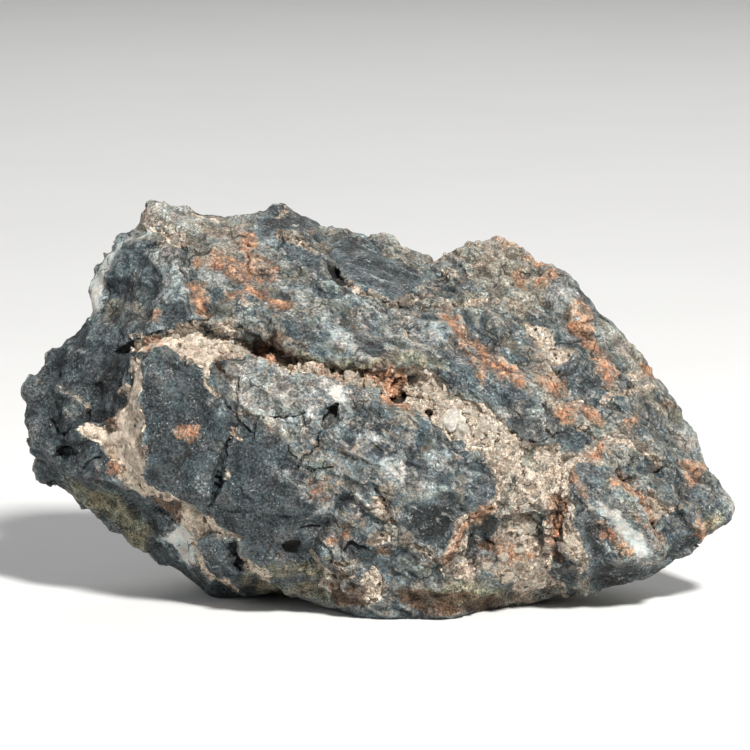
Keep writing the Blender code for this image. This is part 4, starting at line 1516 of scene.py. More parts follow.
@dataclass
class SeamRubble:
    """Lumps and pebbles held in the seams, each a few millimetres across."""

    view: PictureView
    lumps: tuple[Lump, ...] = (
        Lump(376, 376, 1.3, 0.36, 0.75), Lump(389, 380, 1.3, 0.3, 0.7), Lump(369, 383, 0.9, 0.55, 0.7),
        Lump(398, 386, 1.0, 0.33, 0.7), Lump(410, 379, 1.1, 0.02, 0.6), Lump(424, 378, 1.2, 0.72, 0.7),
        Lump(434, 384, 1.0, 0.78, 0.6), Lump(438, 395, 1.1, 0.7, 0.7), Lump(424, 392, 1.1, 0.66, 0.7),
        Lump(412, 396, 0.9, 0.55, 0.7), Lump(446, 403, 1.0, 0.74, 0.7), Lump(455, 407, 1.2, 0.8, 0.7),
        Lump(452, 420, 2.1, 0.92, 0.8), Lump(461, 430, 1.7, 0.86, 0.8), Lump(466, 411, 1.5, 0.86, 0.7),
        Lump(476, 414, 1.0, 0.66, 0.6), Lump(484, 424, 1.3, 0.72, 0.7), Lump(478, 436, 1.2, 0.6, 0.7),
        Lump(494, 431, 1.1, 0.78, 0.6), Lump(501, 441, 1.2, 0.68, 0.7), Lump(488, 443, 1.0, 0.5, 0.7),
        Lump(183, 346, 1.0, 0.8, 0.5), Lump(196, 340, 1.1, 0.86, 0.5), Lump(207, 351, 0.9, 0.3, 0.5),
        Lump(222, 339, 0.9, 0.8, 0.5), Lump(236, 348, 0.9, 0.74, 0.5), Lump(196, 355, 0.8, 0.62, 0.5),
        Lump(130, 398, 0.8, 0.7, 0.5), Lump(118, 441, 0.8, 0.66, 0.5), Lump(136, 478, 0.8, 0.8, 0.5),
        Lump(194, 520, 1.0, 0.8, 0.5), Lump(515, 518, 1.2, 0.72, 0.5), Lump(530, 528, 1.1, 0.8, 0.5),
        Lump(522, 546, 1.4, 0.68, 0.5), Lump(503, 556, 1.0, 0.74, 0.5), Lump(536, 566, 1.2, 0.7, 0.5),
        Lump(508, 578, 1.2, 0.62, 0.5), Lump(486, 566, 1.0, 0.7, 0.5), Lump(526, 506, 1.0, 0.8, 0.5),
        Lump(470, 541, 0.9, 0.03, 0.6), Lump(567, 569, 1.9, 0.04, 0.6), Lump(490, 524, 1.4, 0.03, 0.5),
        Lump(546, 388, 1.0, 0.6, 0.5), Lump(556, 378, 0.8, 0.52, 0.5), Lump(373, 586, 1.2, 0.6, 0.7),
        Lump(262, 351, 0.9, 0.3, 0.7), Lump(272, 357, 1.0, 0.36, 0.7), Lump(284, 362, 1.1, 0.5, 0.7),
        Lump(295, 363, 0.9, 0.62, 0.7), Lump(305, 364, 1.2, 0.7, 0.7), Lump(316, 366, 1.0, 0.66, 0.7),
        Lump(327, 369, 1.2, 0.74, 0.7), Lump(338, 372, 1.0, 0.6, 0.7), Lump(349, 374, 1.2, 0.72, 0.7),
        Lump(360, 376, 1.0, 0.66, 0.7), Lump(354, 291, 0.8, 0.95, 0.5), Lump(629, 386, 0.7, 0.04, 0.6),
        Lump(650, 470, 1.2, 0.05, 0.5),
    )
    seed: int = 41
    proud: float = -0.15

    def build(self, rock: Surface, finish: CrumbFinish) -> bpy.types.Object:
        """Builds and dresses the piece.

        Args:
            rock: The surface that the lumps lie on.
            finish: The lumps' finish.

        Returns:
            The piece.
        """
        draw = np.random.default_rng(self.seed)
        tree = BVHTree.FromPolygons(rock.corners.tolist(), rock.triangles.tolist())
        grains = []
        for lump in self.lumps:
            seat, normal, _, _ = tree.ray_cast(self.view.eye, self.view.ray(lump.column, lump.row))
            stretch = (1.0, draw.uniform(0.7, 0.95), lump.height)
            spin = draw.uniform(0, math.tau)
            size = lump.size * MILLIMETRE
            seat, normal = np.array(seat), np.array(normal)
            grains.append(Grain(seat, normal, size, stretch, spin, self.proud, lump.tone))
        lumps = Grains(Roughness(self.seed), 4).joined(grains)
        return self.roughened(lumps).shown("seam_rubble", finish.material(), CREASE)

    def roughened(self, lumps: Surface) -> Surface:
        """Breaks up the lumps' surface.

        Args:
            lumps: The lumps.

        Returns:
            The broken surface.
        """
        noise = Roughness(self.seed)
        dents = smooth_step(noise.waves(lumps.places + 40.0, 0.8), 0.25, 0.6)
        return lumps.raised(0.3 * noise.facets(lumps.places, 0.9) - 0.15 * dents)


Socket = bpy.types.NodeSocket
Value = float | Socket
# How far the finest grains of the stone and of the crust differ from their colour.
GRIT = 0.44


class NodeBoard:
    """Puts a material's nodes together around its shader."""

    def __init__(self, name: str) -> None:
        """Starts a material.

        Args:
            name: Its name.
        """
        self.made = bpy.data.materials.new(name)
        self.made.use_nodes = True
        self.nodes = self.made.node_tree.nodes
        self.shader = self.nodes["Principled BSDF"]
        here = self.nodes.new("ShaderNodeTexCoord").outputs["Object"]
        self.places = self.vector("SCALE", here, 1.0 / MILLIMETRE)

    def set(self, socket: Socket, value: Value | Colour) -> None:
        """Gives a socket a value or a link.

        Args:
            socket: The socket.
            value: A number, a colour or another node's output.
        """
        if isinstance(value, bpy.types.NodeSocket):
            self.made.node_tree.links.new(value, socket)
        elif isinstance(value, tuple) and len(socket.default_value) == 4:
            socket.default_value = (*value, 1.0)
        else:
            socket.default_value = value

    def math(self, operation: str, *values: Value) -> Socket:
        """Works out a number from others.

        Args:
            operation: What is worked out.
            values: The numbers.

        Returns:
            The result.
        """
        node = self.nodes.new("ShaderNodeMath")
        node.operation = operation
        for socket, value in zip(node.inputs, values):
            self.set(socket, value)
        return node.outputs[0]

    def vector(self, operation: str, first: Socket, second: Value | Colour) -> Socket:
        """Works out a vector from others.

        Args:
            operation: What is worked out.
            first: The first vector.
            second: The second vector, or the factor to scale by.

        Returns:
            The result.
        """
        node = self.nodes.new("ShaderNodeVectorMath")
        node.operation = operation
        self.set(node.inputs[0], first)
        self.set(node.inputs["Scale" if operation == "SCALE" else 1], second)
        return node.outputs[0]

    def rise(self, value: Value, low: float, high: float, start: float = 0.0, end: float = 1.0) -> Socket:
        """Rises smoothly from start to end as a number goes from low to high.

        Args:
            value: The number.
            low: Where the rise starts.
            high: Where it ends.
            start: The result before it.
            end: The result after it.

        Returns:
            The result.
        """
        node = self.nodes.new("ShaderNodeMapRange")
        node.interpolation_type = "SMOOTHSTEP"
        for socket, number in zip(node.inputs, (value, low, high, start, end)):
            self.set(socket, number)
        return node.outputs[0]

    def grain(
        self, size: float, detail: float = 3.0, gain: float = 0.55,
        places: Socket | None = None, output: int = 0,
    ) -> Socket:
        """Smooth noise.

        Args:
            size: Its lumps' size, in millimetres.
            detail: How many finer layers it has.
            gain: How strong they are.
            places: Where it is read, or None for the piece's own places.
            output: 0 for its number, 1 for its colour.

        Returns:
            The number, from 0 to 1 about 0.5, or the colour.
        """
        node = self.nodes.new("ShaderNodeTexNoise")
        self.set(node.inputs["Vector"], places or self.places)
        for name, number in (("Scale", 1.0 / size), ("Detail", detail), ("Roughness", gain)):
            node.inputs[name].default_value = number
        return node.outputs[output]

    def cells(
        self, size: float, feature: str = "F1", places: Socket | None = None, metric: str = "EUCLIDEAN",
    ) -> bpy.types.Node:
        """Irregular cells.

        Args:
            size: Their size, in millimetres.
            feature: What of them is wanted.
            places: Where they are read, or None for the piece's own places.
            metric: How distances in them are taken, round or square.

        Returns:
            The node.
        """
        node = self.nodes.new("ShaderNodeTexVoronoi")
        node.feature = feature
        if feature == "F1":
            node.distance = metric
        self.set(node.inputs["Vector"], places or self.places)
        node.inputs["Scale"].default_value = 1.0 / size
        return node

    def chance(self, cells: bpy.types.Node) -> Socket:
        """One random number from 0 to 1 for each cell.

        Args:
            cells: The cells.

        Returns:
            The number.
        """
        node = self.nodes.new("ShaderNodeSeparateColor")
        self.set(node.inputs[0], cells.outputs["Color"])
        return node.outputs[0]

    def bent(self, size: float, amount: float, places: Socket | None = None) -> Socket:
        """Places pushed about by noise, its size and its amount in millimetres."""
        push = self.vector("SUBTRACT", self.grain(size, 2.0, output=1), (0.5, 0.5, 0.5))
        return self.vector("ADD", places or self.places, self.vector("SCALE", push, amount * 2.0))

    def sheared(self, places: Socket, along: float, turn: float) -> Socket:
        """Places in which round shapes come out long, down to the right.

        Args:
            places: The places.
            along: How much longer they come out.
            turn: The turn of their length from level, in radians.

        Returns:
            The places to read a texture at.
        """
        node = self.nodes.new("ShaderNodeMapping")
        node.vector_type = "TEXTURE"
        self.set(node.inputs["Vector"], places)
        node.inputs["Rotation"].default_value = (0.0, turn, 0.0)
        node.inputs["Scale"].default_value = (along, 1.3, 1.0)
        return node.outputs[0]

    def mix(self, share: Value, first: Socket | Colour, second: Socket | Colour) -> Socket:
        """Mixes two colours.

        Args:
            share: How much of the second there is.
            first: The first colour.
            second: The second colour.

        Returns:
            The mixed colour.
        """
        node = self.nodes.new("ShaderNodeMix")
        node.data_type = "RGBA"
        for socket, value in zip((node.inputs[0], node.inputs[6], node.inputs[7]), (share, first, second)):
            self.set(socket, value)
        return node.outputs[2]

    def over(self, colour: Socket, tint: Socket | Colour, *shares: Value) -> Socket:
        """Lays a tint over a colour.

        Args:
            colour: The colour.
            tint: The tint.
            shares: How much of the tint there is, as numbers to multiply.

        Returns:
            The new colour.
        """
        share, *others = shares
        for other in others:
            share = self.math("MULTIPLY", share, other)
        return self.mix(share, colour, tint)

    def shaded(self, colour: Socket, factor: Socket) -> Socket:
        """A colour made lighter or darker by a factor."""
        return self.vector("SCALE", colour, factor)

    def wandering(self, kind: Field, ragged: float, size: float = 0.9) -> Socket:
        """A field whose edge wanders by ragged pixels, in waves of a size in millimetres."""
        wander = self.math("SUBTRACT", self.grain(size, 3.0, 0.65), 0.5)
        return self.math("MULTIPLY_ADD", wander, ragged * 4.0, self.number(kind))

    def edged(self, kind: Field, ragged: float, soft: float, size: float = 0.9) -> Socket:
        """How much of a field shows, 0 to 1, with an edge that is ragged and soft by some pixels."""
        return self.rise(self.wandering(kind, ragged, size), -soft, soft)

    def finished(self, colour: Socket, roughness: Value) -> bpy.types.Material:
        """Puts a colour and a roughness on the shader.

        Args:
            colour: The colour.
            roughness: How matte it is, up to 1.

        Returns:
            The material.
        """
        self.set(self.shader.inputs["Base Color"], colour)
        self.set(self.shader.inputs["Roughness"], roughness)
        return self.made

    def gritty(self, colour: Socket, share: Value) -> Socket:
        """Breaks a colour up into fine light and dark grains, stronger in one part than in the next.

        Args:
            colour: The colour.
            share: How strong they are, 1 for all of it.

        Returns:
            The new colour.
        """
        fine = self.rise(self.grain(0.36, 3.0, 0.8), 0.36, 0.64, -GRIT, 1.2 * GRIT)
        patchy = self.math("MULTIPLY", self.rise(self.grain(4.0, 4.0, 0.7), 0.36, 0.62, 0.35, 1.25), share)
        return self.shaded(colour, self.math("MULTIPLY_ADD", fine, patchy, 1.0))

    def ramp(self, value: Socket, stops: Stops) -> Socket:
        """Turns a number into a colour.

        Args:
            value: The number.
            stops: The colour at each number.

        Returns:
            The colour.
        """
        node = self.nodes.new("ShaderNodeValToRGB")
        self.set(node.inputs[0], value)
        while len(node.color_ramp.elements) < len(stops):
            node.color_ramp.elements.new(1.0)
        for element, (position, colour) in zip(node.color_ramp.elements, stops):
            element.position = position
            element.color = (*colour, 1.0)
        return node.outputs[0]

    def number(self, name: str) -> Socket:
        """A number that the mesh carries at its corners.

        Args:
            name: Its name.

        Returns:
            The number.
        """
        node = self.nodes.new("ShaderNodeAttribute")
        node.attribute_type = "GEOMETRY"
        node.attribute_name = name
        return node.outputs["Fac"]

    def bump(self, height: Socket, distance: float, strength: Value = 1.0) -> None:
        """Adds low relief to the shader, over what it has.

        Args:
            height: The relief, from 0 to 1.
            distance: How high 1 is, in millimetres.
            strength: How strongly it shows.
        """
        node = self.nodes.new("ShaderNodeBump")
        self.set(node.inputs["Strength"], strength)
        node.inputs["Distance"].default_value = distance * MILLIMETRE
        self.set(node.inputs["Height"], height)
        before = self.shader.inputs["Normal"].links
        if before:
            self.set(node.inputs["Normal"], before[0].from_socket)
        self.set(self.shader.inputs["Normal"], node.outputs[0])


class StoneFinish(NodeBoard):
    """Dark, fine-grained chert: hackly facets, sheared clasts, quartz haze, stains and dirt, with painted
    shade in hollows, cracks and under overhangs, and painted highlights on ridges and in glints.
    """

    dark: Pair = ((0.008, 0.012, 0.015), (0.070, 0.088, 0.098))
    blue: Pair = ((0.022, 0.031, 0.037), (0.155, 0.187, 0.203))
    plain: Pair = ((0.034, 0.047, 0.054), (0.185, 0.222, 0.235))
    warm: Pair = ((0.045, 0.045, 0.037), (0.265, 0.255, 0.218))
    white: Pair = ((0.20, 0.225, 0.23), (0.62, 0.655, 0.645))
    milk: Colour = (0.78, 0.80, 0.77)
    # Laid on the ridges: partly edge wear, partly painted highlight.
    ridge_wear_and_highlight: Colour = (0.40, 0.40, 0.365)
    beige: Pair = ((0.12, 0.105, 0.080), (0.50, 0.435, 0.35))
    olive: Pair = ((0.065, 0.066, 0.042), (0.42, 0.385, 0.25))
    clasts: Stops = (
        (0.0, (0.030, 0.046, 0.060)), (0.16, (0.055, 0.078, 0.095)), (0.17, (0.27, 0.30, 0.30)),
        (0.30, (0.22, 0.245, 0.235)), (0.31, (0.085, 0.108, 0.122)), (0.46, (0.115, 0.135, 0.138)),
        (0.47, (0.30, 0.25, 0.195)), (0.58, (0.23, 0.185, 0.14)), (0.59, (0.135, 0.150, 0.125)),
        (0.74, (0.175, 0.180, 0.155)), (0.75, (0.40, 0.405, 0.38)), (0.83, (0.34, 0.335, 0.31)),
        (0.84, (0.095, 0.125, 0.150)), (1.0, (0.145, 0.18, 0.195)),
    )
    tints: Pair = ((1.12, 0.99, 0.92), (0.95, 1.02, 1.015))
    seam: Colour = (0.46, 0.39, 0.30)
    rust: Stops = (
        (0.30, (0.14, 0.058, 0.033)), (0.42, (0.35, 0.155, 0.082)), (0.54, (0.56, 0.30, 0.17)),
        (0.70, (0.68, 0.49, 0.345)),
    )
    halo: Pair = ((0.45, 0.243, 0.1425), (0.288, 0.2835, 0.228))
    brown: Pair = ((0.018, 0.011, 0.007), (0.15, 0.09, 0.052))
    cream: Stops = (
        (0.26, (0.24, 0.18, 0.13)), (0.42, (0.50, 0.42, 0.33)), (0.58, (0.64, 0.565, 0.47)),
        (0.76, (0.76, 0.71, 0.63)),
    )
    # Near black: the hairlines' own dark, and in the crack field painted shade inside cracks and holes and
    # painted shadow under the overhangs.
    crack: Colour = (0.014, 0.012, 0.011)
    shear: float = 0.66
    specular: float = 0.26

    def __init__(self) -> None:
        """Starts the finish with the stone's grain, a number from 0, dark, to 1, light."""
        super().__init__("stone")
        total = self.math("ADD", self.grain(0.42, 3.0, 0.75), self.grain(2.2, 6.0, 0.7, self.bent(2.0, 0.8)))
        total = self.math("MULTIPLY_ADD", self.chance(self.cells(0.3)), 0.14, total)
        self.speckle = self.rise(total, 0.86, 1.30)

    def material(self) -> bpy.types.Material:
        """Builds the finish.

        Returns:
            The material.
        """
        self.roughened()
        self.shader.inputs["Specular IOR Level"].default_value = self.specular
        gloss = self.rise(self.grain(0.7, 3.0, 0.6), 0.4, 0.62, 0.68, 0.42)
        colour = self.stained(self.hazed(self.clasted(self.ground())))
        return self.finished(self.shaded_and_weathered(colour), gloss)

    def grained(self, pair: Pair) -> Socket:
        """A colour that runs with the grain from the first of a pair to the second."""
        return self.mix(self.speckle, *pair)

    def sparkling(self, colour: Socket, low: float, high: float) -> Socket:
        """A colour multiplied by low in dark grain and by high in light grain."""
        return self.shaded(colour, self.rise(self.speckle, 0.0, 1.0, low, high))

    def ground(self) -> Socket:
        """The plain stone, darker and lighter, bluer and warmer.

        Returns:
            The colour.
        """
        warmth = self.rise(self.grain(6.0, 4.0, 0.6, self.bent(4.0, 2.0)), 0.44, 0.58)
        mottle = self.edged(Field.MOTTLE, 2.0, 6.0, 4.0)
        colour = self.over(self.grained(self.plain), self.grained(self.warm), warmth, mottle)
        clouds = self.rise(self.grain(7.0, 5.0, 0.62, self.bent(6.0, 3.0)), 0.42, 0.58, 1.0, 0.0)
        return self.over(colour, self.grained(self.dark), clouds)

    def clasted(self, colour: Socket) -> Socket:
        """Adds the broken pieces of other stone, drawn out by shearing, the beige parts and the dark blocks.

        Args:
            colour: The stone's colour.

        Returns:
            The new colour.
        """
        share = self.edged(Field.MOTTLE, 2.0, 6.0, 4.0)
        for size, cover in ((5.0, 0.7), (2.3, 0.75), (1.1, 0.6)):
            places = self.sheared(self.bent(size * 0.5, size * 0.22), 1.6, self.shear)
            pieces = self.chance(self.cells(size, places=places))
            tint = self.sparkling(self.ramp(pieces, self.clasts), 0.6, 1.4)
            there = self.rise(self.grain(size * 1.5, 3.0, 0.6), 0.46, 0.54)
            colour = self.over(colour, tint, share, there, cover)
            border = self.cells(size, "DISTANCE_TO_EDGE", places).outputs["Distance"]
            broken = self.rise(self.grain(size * 1.1, 3.0, 0.6), 0.53, 0.6, 0.0, 0.5)
            colour = self.over(colour, self.seam, self.rise(border, 0.0, 0.045, 1.0, 0.0), broken, share)
        patches = self.rise(self.grain(1.6, 4.0, 0.65), 0.36, 0.6, 0.4, 0.8)
        colour = self.over(colour, self.grained(self.beige), self.edged(Field.BEIGE, 4.0, 5.0, 2.4), patches)
        return self.over(colour, self.slate(), self.edged(Field.DARK, 1.8, 2.2), 0.94)

    def slate(self) -> Socket:
        """The dark blocks' stone, near black in one part and slate blue in the next, and darker still in the
        middle of a deep mark, which in the scoop under the left overhang is painted shade.

        Returns:
            The colour.
        """
        mottle = self.rise(self.number(Field.MOTTLE), -4.0, 4.0, 0.25, 0.9)
        blue = self.rise(self.grain(9.0, 3.0), 0.36, 0.56)
        colour = self.over(self.grained(self.dark), self.grained(self.blue), blue, mottle)
        # Darker still in the middle of a deep dark mark: the stone's own dark in the dark lens and the
        # blocks, and painted shade in the scoop under the left overhang.
        return self.shaded(colour, self.rise(self.number(Field.DARK), 5.2, 9.5, 1.0, 0.26))

    def hazed(self, colour: Socket) -> Socket:
        """Adds the white quartz: clouds of it, wisps along the shear, and white flecks that are painted
        glints.

        Args:
            colour: The stone's colour.

        Returns:
            The new colour.
        """
        # The deepest quartz turns milk white; in the undercut white this is partly painted light.
        pure = self.rise(self.wandering(Field.QUARTZ, 1.8), 1.6, 4.6, 0.0, 0.85)
        white = self.over(self.grained(self.white), self.milk, pure)
        gaps = self.rise(self.grain(1.3, 5.0, 0.72), 0.42, 0.54, 0.15, 0.88)
        haze = self.edged(Field.QUARTZ, 4.2, 3.2, 1.2)
        colour = self.over(colour, white, haze, self.math("MAXIMUM", gaps, pure))
        places = self.sheared(self.bent(3.0, 1.0), 6.0, self.shear)
        wisp = self.rise(self.grain(0.9, 4.0, 0.65, places), 0.57, 0.68, 0.0, 0.65)
        colour = self.over(colour, white, wisp, self.rise(self.number(Field.MOTTLE), -4.0, 4.0))
        # Painted glints: white flecks standing for the crystals' sparkle.
        crowd = self.rise(self.grain(3.0, 3.0), 0.35, 0.65, -0.05, 0.05)
        glint = self.math("ADD", self.grain(0.36, 3.0, 0.8), crowd)
        return self.over(colour, white, self.rise(glint, 0.62, 0.74, 0.0, 0.8))

    def stained(self, colour: Socket) -> Socket:
        """Adds olive dirt, the crust's cream, rust, brown dirt, dark hairlines and the cracks' near black,
        with painted shade in the cracks and holes and where the olive and the brown lie under the main seam's
        overhang.

        Args:
            colour: The stone's colour.

        Returns:
            The new colour.
        """
        # The seam lip's olive is painted shade under the main seam's overhang.
        colour = self.over(colour, self.grained(self.olive), self.edged(Field.OLIVE, 3.0, 6.0, 2.0), 0.78)
        cream = self.sparkling(self.ramp(self.grain(1.5, 4.0, 0.65), self.cream), 0.62, 1.12)
        colour = self.rusted(self.over(colour, cream, self.edged(Field.CRUST, 1.6, 1.8)))
        # Under the main seam's overhang this brown is painted shade.
        colour = self.over(colour, self.grained(self.brown), self.edged(Field.BROWN, 2.0, 2.4, 0.7), 0.88)
        blocks = self.cells(6.5, "DISTANCE_TO_EDGE", self.sheared(self.bent(2.4, 1.6), 1.5, self.shear))
        line = self.rise(blocks.outputs["Distance"], 0.006, 0.026, 1.0, 0.0)
        there = self.rise(self.grain(5.0, 3.0, 0.6), 0.5, 0.56, 0.0, 0.8)
        colour = self.over(colour, self.crack, line, there)
        # Painted shade: the crack field goes near black inside cracks and holes and under the overhangs.
        ragged = self.rise(self.grain(1.4, 3.0), 0.3, 0.7, -0.9, 0.5)
        depth = self.math("ADD", self.number(Field.CRACK), ragged)
        return self.over(colour, self.crack, self.rise(depth, -0.1, 1.1, 0.0, 0.9))

    def rusted(self, colour: Socket) -> Socket:
        """Adds the rust: patchy stains, each with a faint tan edge, redder in one part than in the next.

        Args:
            colour: The stone's colour.

        Returns:
            The new colour.
        """
        ragged = self.rise(self.grain(1.8, 4.0, 0.65), 0.3, 0.7, -6.0, 6.0)
        around = self.rise(self.math("ADD", self.number(Field.RUST), ragged), -4.0, 2.0, 0.0, 0.45)
        tan = self.sparkling(self.mix(self.grain(3.0, 3.0), *self.halo), 0.55, 1.4)
        stain = self.sparkling(self.ramp(self.grain(1.0, 5.0, 0.7), self.rust), 0.6, 1.3)
        patches = self.rise(self.grain(1.1, 5.0, 0.75), 0.38, 0.58, 0.26, 0.86)
        colour = self.over(colour, tan, around)
        return self.over(colour, stain, self.edged(Field.RUST, 5.5, 3.4, 1.5), patches)

    def shaded_and_weathered(self, colour: Socket) -> Socket:
        """Darkens the hollows with painted shade and pales the ridges with edge wear and painted highlight.

        Args:
            colour: The stone's colour.

        Returns:
            The new colour.
        """
        # Painted highlight and edge wear: the ridges are paled.
        ridge = self.rise(self.number("hollow"), -0.6, -0.1, 0.45, 0.0)
        colour = self.over(colour, self.ridge_wear_and_highlight, ridge, self.rise(self.grain(0.9, 4.0, 0.65), 0.42, 0.6))
        # Painted shade darkens the hollows, and painted highlight lightens the ridges.
        colour = self.shaded(colour, self.rise(self.number("hollow"), -0.4, 0.45, 1.3, 0.6))
        drift = self.rise(self.grain(3.5, 4.0, 0.7, self.bent(3.0, 1.5)), 0.38, 0.62)
        colour = self.vector("MULTIPLY", colour, self.mix(drift, *self.tints))
        return self.gritty(colour, self.rise(self.number(Field.QUARTZ), -1.0, 4.0, 1.0, 0.35))

    def roughened(self) -> None:
        """Adds the stone's lowest relief."""
        places = self.sheared(self.bent(2.0, 0.5), 1.25, 0.5)
        rough = self.rise(self.number(Field.DARK), -2.0, 3.0, 1.0, 0.45)
        for size, height in ((2.4, 0.75), (0.95, 0.34)):
            facets = self.cells(size, places=places, metric="CHEBYCHEV").outputs["Distance"]
            self.bump(facets, height, rough)
        self.bump(self.grain(0.55, 5.0, 0.82), 0.42)


@dataclass(frozen=True)
class CrustFinish:
    """Cream, porous crust with brown holes and orange stains, with painted shade in its hollows and painted
    light on the smooth plaster of the left end.
    """

    cream: Stops = (
        (0.26, (0.20, 0.145, 0.095)), (0.37, (0.43, 0.34, 0.255)), (0.5, (0.60, 0.505, 0.40)),
        (0.7, (0.77, 0.70, 0.595)),
    )
    blush: Colour = (0.50, 0.375, 0.295)
    rust: Stops = (
        (0.26, (0.16, 0.065, 0.038)), (0.42, (0.42, 0.185, 0.10)), (0.58, (0.66, 0.34, 0.19)),
        (0.76, (0.74, 0.52, 0.37)),
    )
    hole: Colour = (0.06, 0.036, 0.022)
    brown: Stops = ((0.3, hole), (0.7, blush))
    roughness: float = 0.88

    def material(self) -> bpy.types.Material:
        """Builds the finish.

        Returns:
            The material.
        """
        board = NodeBoard("seam_crust")
        colour = board.ramp(board.grain(1.4, 5.0, 0.7), self.cream)
        crumbly = board.rise(board.number("crumbly"), 0.0, 1.0, 0.5, 1.0)
        blush = board.rise(board.grain(3.4, 3.0, 0.6), 0.48, 0.66, 0.0, 0.6)
        colour = board.over(colour, self.blush, blush)
        for kind, soft, tints in ((Field.RUST, 2.5, self.rust), (Field.BROWN, 2.0, self.brown)):
            tint = board.ramp(board.grain(1.0, 4.0, 0.68), tints)
            colour = board.over(colour, tint, board.edged(kind, 2.5, soft, 0.8), 0.88)
        dirt = board.rise(board.grain(0.55, 4.0, 0.75), 0.52, 0.64, 0.0, 0.8)
        colour = board.over(colour, self.hole, dirt, crumbly)
        colour = board.over(colour, self.hole, board.rise(board.number("pore"), 0.1, 0.7))
        # Painted light: the smooth plaster of the left end, which lies in a shaded recess, is lightened.
        colour = board.shaded(colour, board.rise(board.number("crumbly"), 0.0, 1.0, 1.22, 1.0))
        # Painted shade in the hollows between the crust's lumps, and painted highlight on their tops.
        colour = board.shaded(colour, board.rise(board.number("hollow"), -0.2, 0.3, 1.14, 0.32))
        board.bump(board.grain(0.6, 4.0, 0.78), 0.5)
        return board.finished(board.gritty(colour, crumbly), self.roughness)


@dataclass(frozen=True)
class CrumbFinish:
    """Loose crumbs and lumps, from dark stone through rust and buff to white."""

    tones: Stops = (
        (0.0, (0.045, 0.052, 0.055)), (0.12, (0.11, 0.085, 0.06)), (0.3, (0.50, 0.225, 0.12)),
        (0.45, (0.42, 0.29, 0.195)), (0.62, (0.38, 0.325, 0.255)), (0.8, (0.46, 0.41, 0.34)),
        (1.0, (0.62, 0.59, 0.535)),
    )
    roughness: float = 0.85

    def material(self) -> bpy.types.Material:
        """Builds the finish.

        Returns:
            The material.
        """
        board = NodeBoard("seam_crumb")
        drift = board.math("MULTIPLY", board.math("SUBTRACT", board.grain(0.8, 3.0, 0.65), 0.5), 0.3)
        colour = board.ramp(board.math("ADD", board.number("tone"), drift), self.tones)
        colour = board.shaded(colour, board.rise(board.grain(0.35, 3.0, 0.6), 0.3, 0.7, 0.7, 1.12))
        board.bump(board.grain(0.5, 4.0, 0.75), 0.34)
        return board.finished(colour, self.roughness)


@dataclass(frozen=True)
class FloorFinish:
    """Plain, pale and matte."""

    colours: Pair = ((0.74, 0.74, 0.735), (0.78, 0.78, 0.775))
    roughness: float = 0.8

    def material(self) -> bpy.types.Material:
        """Builds the finish."""
        board = NodeBoard("pale_floor")
        return board.finished(board.mix(board.grain(60.0), *self.colours), self.roughness)


@dataclass(frozen=True)
class Lamp:
    """A soft square light that points at the specimen."""

    name: str
    place: tuple[float, float, float]
    side: float
    power: float
    colour: Colour = (1.0, 1.0, 1.0)

    def light(self, target: Vector) -> bpy.types.Object:
        """Puts the light in the scene.

        Args:
            target: What it points at.

        Returns:
            The light.
        """
        data = bpy.data.lights.new(self.name, "AREA")
        data.size = self.side
        data.energy = self.power
        data.color = self.colour
        lamp = bpy.data.objects.new(self.name, data)
        lamp.location = self.place
        lamp.rotation_euler = (target - lamp.location).to_track_quat("-Z", "Y").to_euler()
        bpy.context.scene.collection.objects.link(lamp)
        return lamp


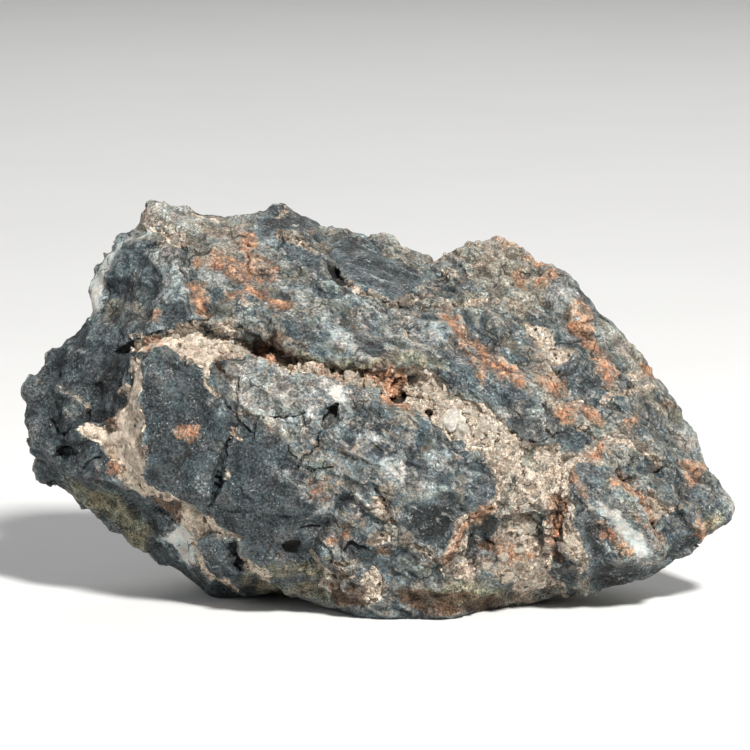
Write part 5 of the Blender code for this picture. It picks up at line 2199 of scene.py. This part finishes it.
@dataclass
class Studio:
    """The pale floor, the soft lights and the camera."""

    view: PictureView
    floor_side: float = 6.0
    sky: Colour = (1.0, 1.0, 1.0)
    sky_strength: float = 0.15
    sensor: float = 36.0
    nearest: float = 0.01
    lamps: tuple[Lamp, ...] = (
        Lamp("key", (0.30, -0.60, 0.78), 0.14, 16.5, (1.0, 0.985, 0.96)),
        Lamp("fill", (-0.85, -0.45, 0.55), 0.7, 1.6, (0.90, 0.955, 1.0)),
        Lamp("back", (0.10, 0.75, 0.85), 0.8, 4.4),
    )

    def build(self) -> bpy.types.Object:
        """Builds the studio.

        Returns:
            The floor.
        """
        self.light()
        self.look()
        return self.floor(FloorFinish())

    def floor(self, finish: FloorFinish) -> bpy.types.Object:
        """Lays the floor.

        Args:
            finish: Its finish.

        Returns:
            The floor.
        """
        half = self.floor_side / 2
        mesh = bpy.data.meshes.new("floor")
        corners = [(-half, -half, 0.0), (half, -half, 0.0), (half, half, 0.0), (-half, half, 0.0)]
        mesh.from_pydata(corners, [], [(0, 1, 2, 3)])
        mesh.materials.append(finish.material())
        floor = bpy.data.objects.new("floor", mesh)
        bpy.context.scene.collection.objects.link(floor)
        return floor

    def light(self) -> None:
        """Sets the lamps and the pale surroundings."""
        for lamp in self.lamps:
            lamp.light(self.view.target)
        world = bpy.data.worlds.new("studio")
        world.use_nodes = True
        background = world.node_tree.nodes["Background"]
        background.inputs["Color"].default_value = (*self.sky, 1.0)
        background.inputs["Strength"].default_value = self.sky_strength
        bpy.context.scene.world = world

    def look(self) -> None:
        """Sets the camera at the picture's eye."""
        data = bpy.data.cameras.new("camera")
        data.sensor_width = self.sensor
        data.lens = self.sensor * self.view.eye_distance / (self.view.side * self.view.pixel)
        data.clip_start = self.nearest
        camera = bpy.data.objects.new("camera", data)
        camera.location = self.view.eye
        camera.rotation_euler = (-self.view.toward_eye).to_track_quat("-Z", "Y").to_euler()
        bpy.context.scene.collection.objects.link(camera)
        bpy.context.scene.camera = camera
        bpy.context.scene.view_settings.view_transform = "Standard"


def write_sizes(before: Iterable[Iterable[float]]) -> None:
    """Puts the solid's box and the dressed piece's box into plain lists of numbers.

    Args:
        before: The solid's lowest and highest corners.
    """
    boxes = {"cad": before, "visual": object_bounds()}
    plain = {name: [[float(number) for number in corner] for corner in box] for name, box in boxes.items()}


def main() -> None:
    """Builds the specimen's pieces and the studio, and reports each."""
    logging.basicConfig(level=logging.INFO, format="%(name)s: %(message)s")
    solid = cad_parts["rock"]
    view = PictureView().settled(np.array([tuple(corner.co) for corner in solid.data.vertices]))
    painter = FieldPainter(view)
    rock, rock_piece = RockBody(solid, painter).build(StoneFinish())
    crust, crust_piece = SeamCrust(painter).build(rock, CrustFinish())
    crumbs = CrustCrumbs(view).build(crust, CrumbFinish())
    rubble = SeamRubble(view).build(rock, CrumbFinish())
    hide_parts("rock")
    for piece in (rock_piece, crust_piece, crumbs, rubble):
        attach(piece, "root")
        LOG.info("%s: %d triangles", piece.name, len(piece.data.polygons))
    Studio(view).build()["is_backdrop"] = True


if __name__ == "__main__":
    cad_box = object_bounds()
    main()
    write_sizes(cad_box)
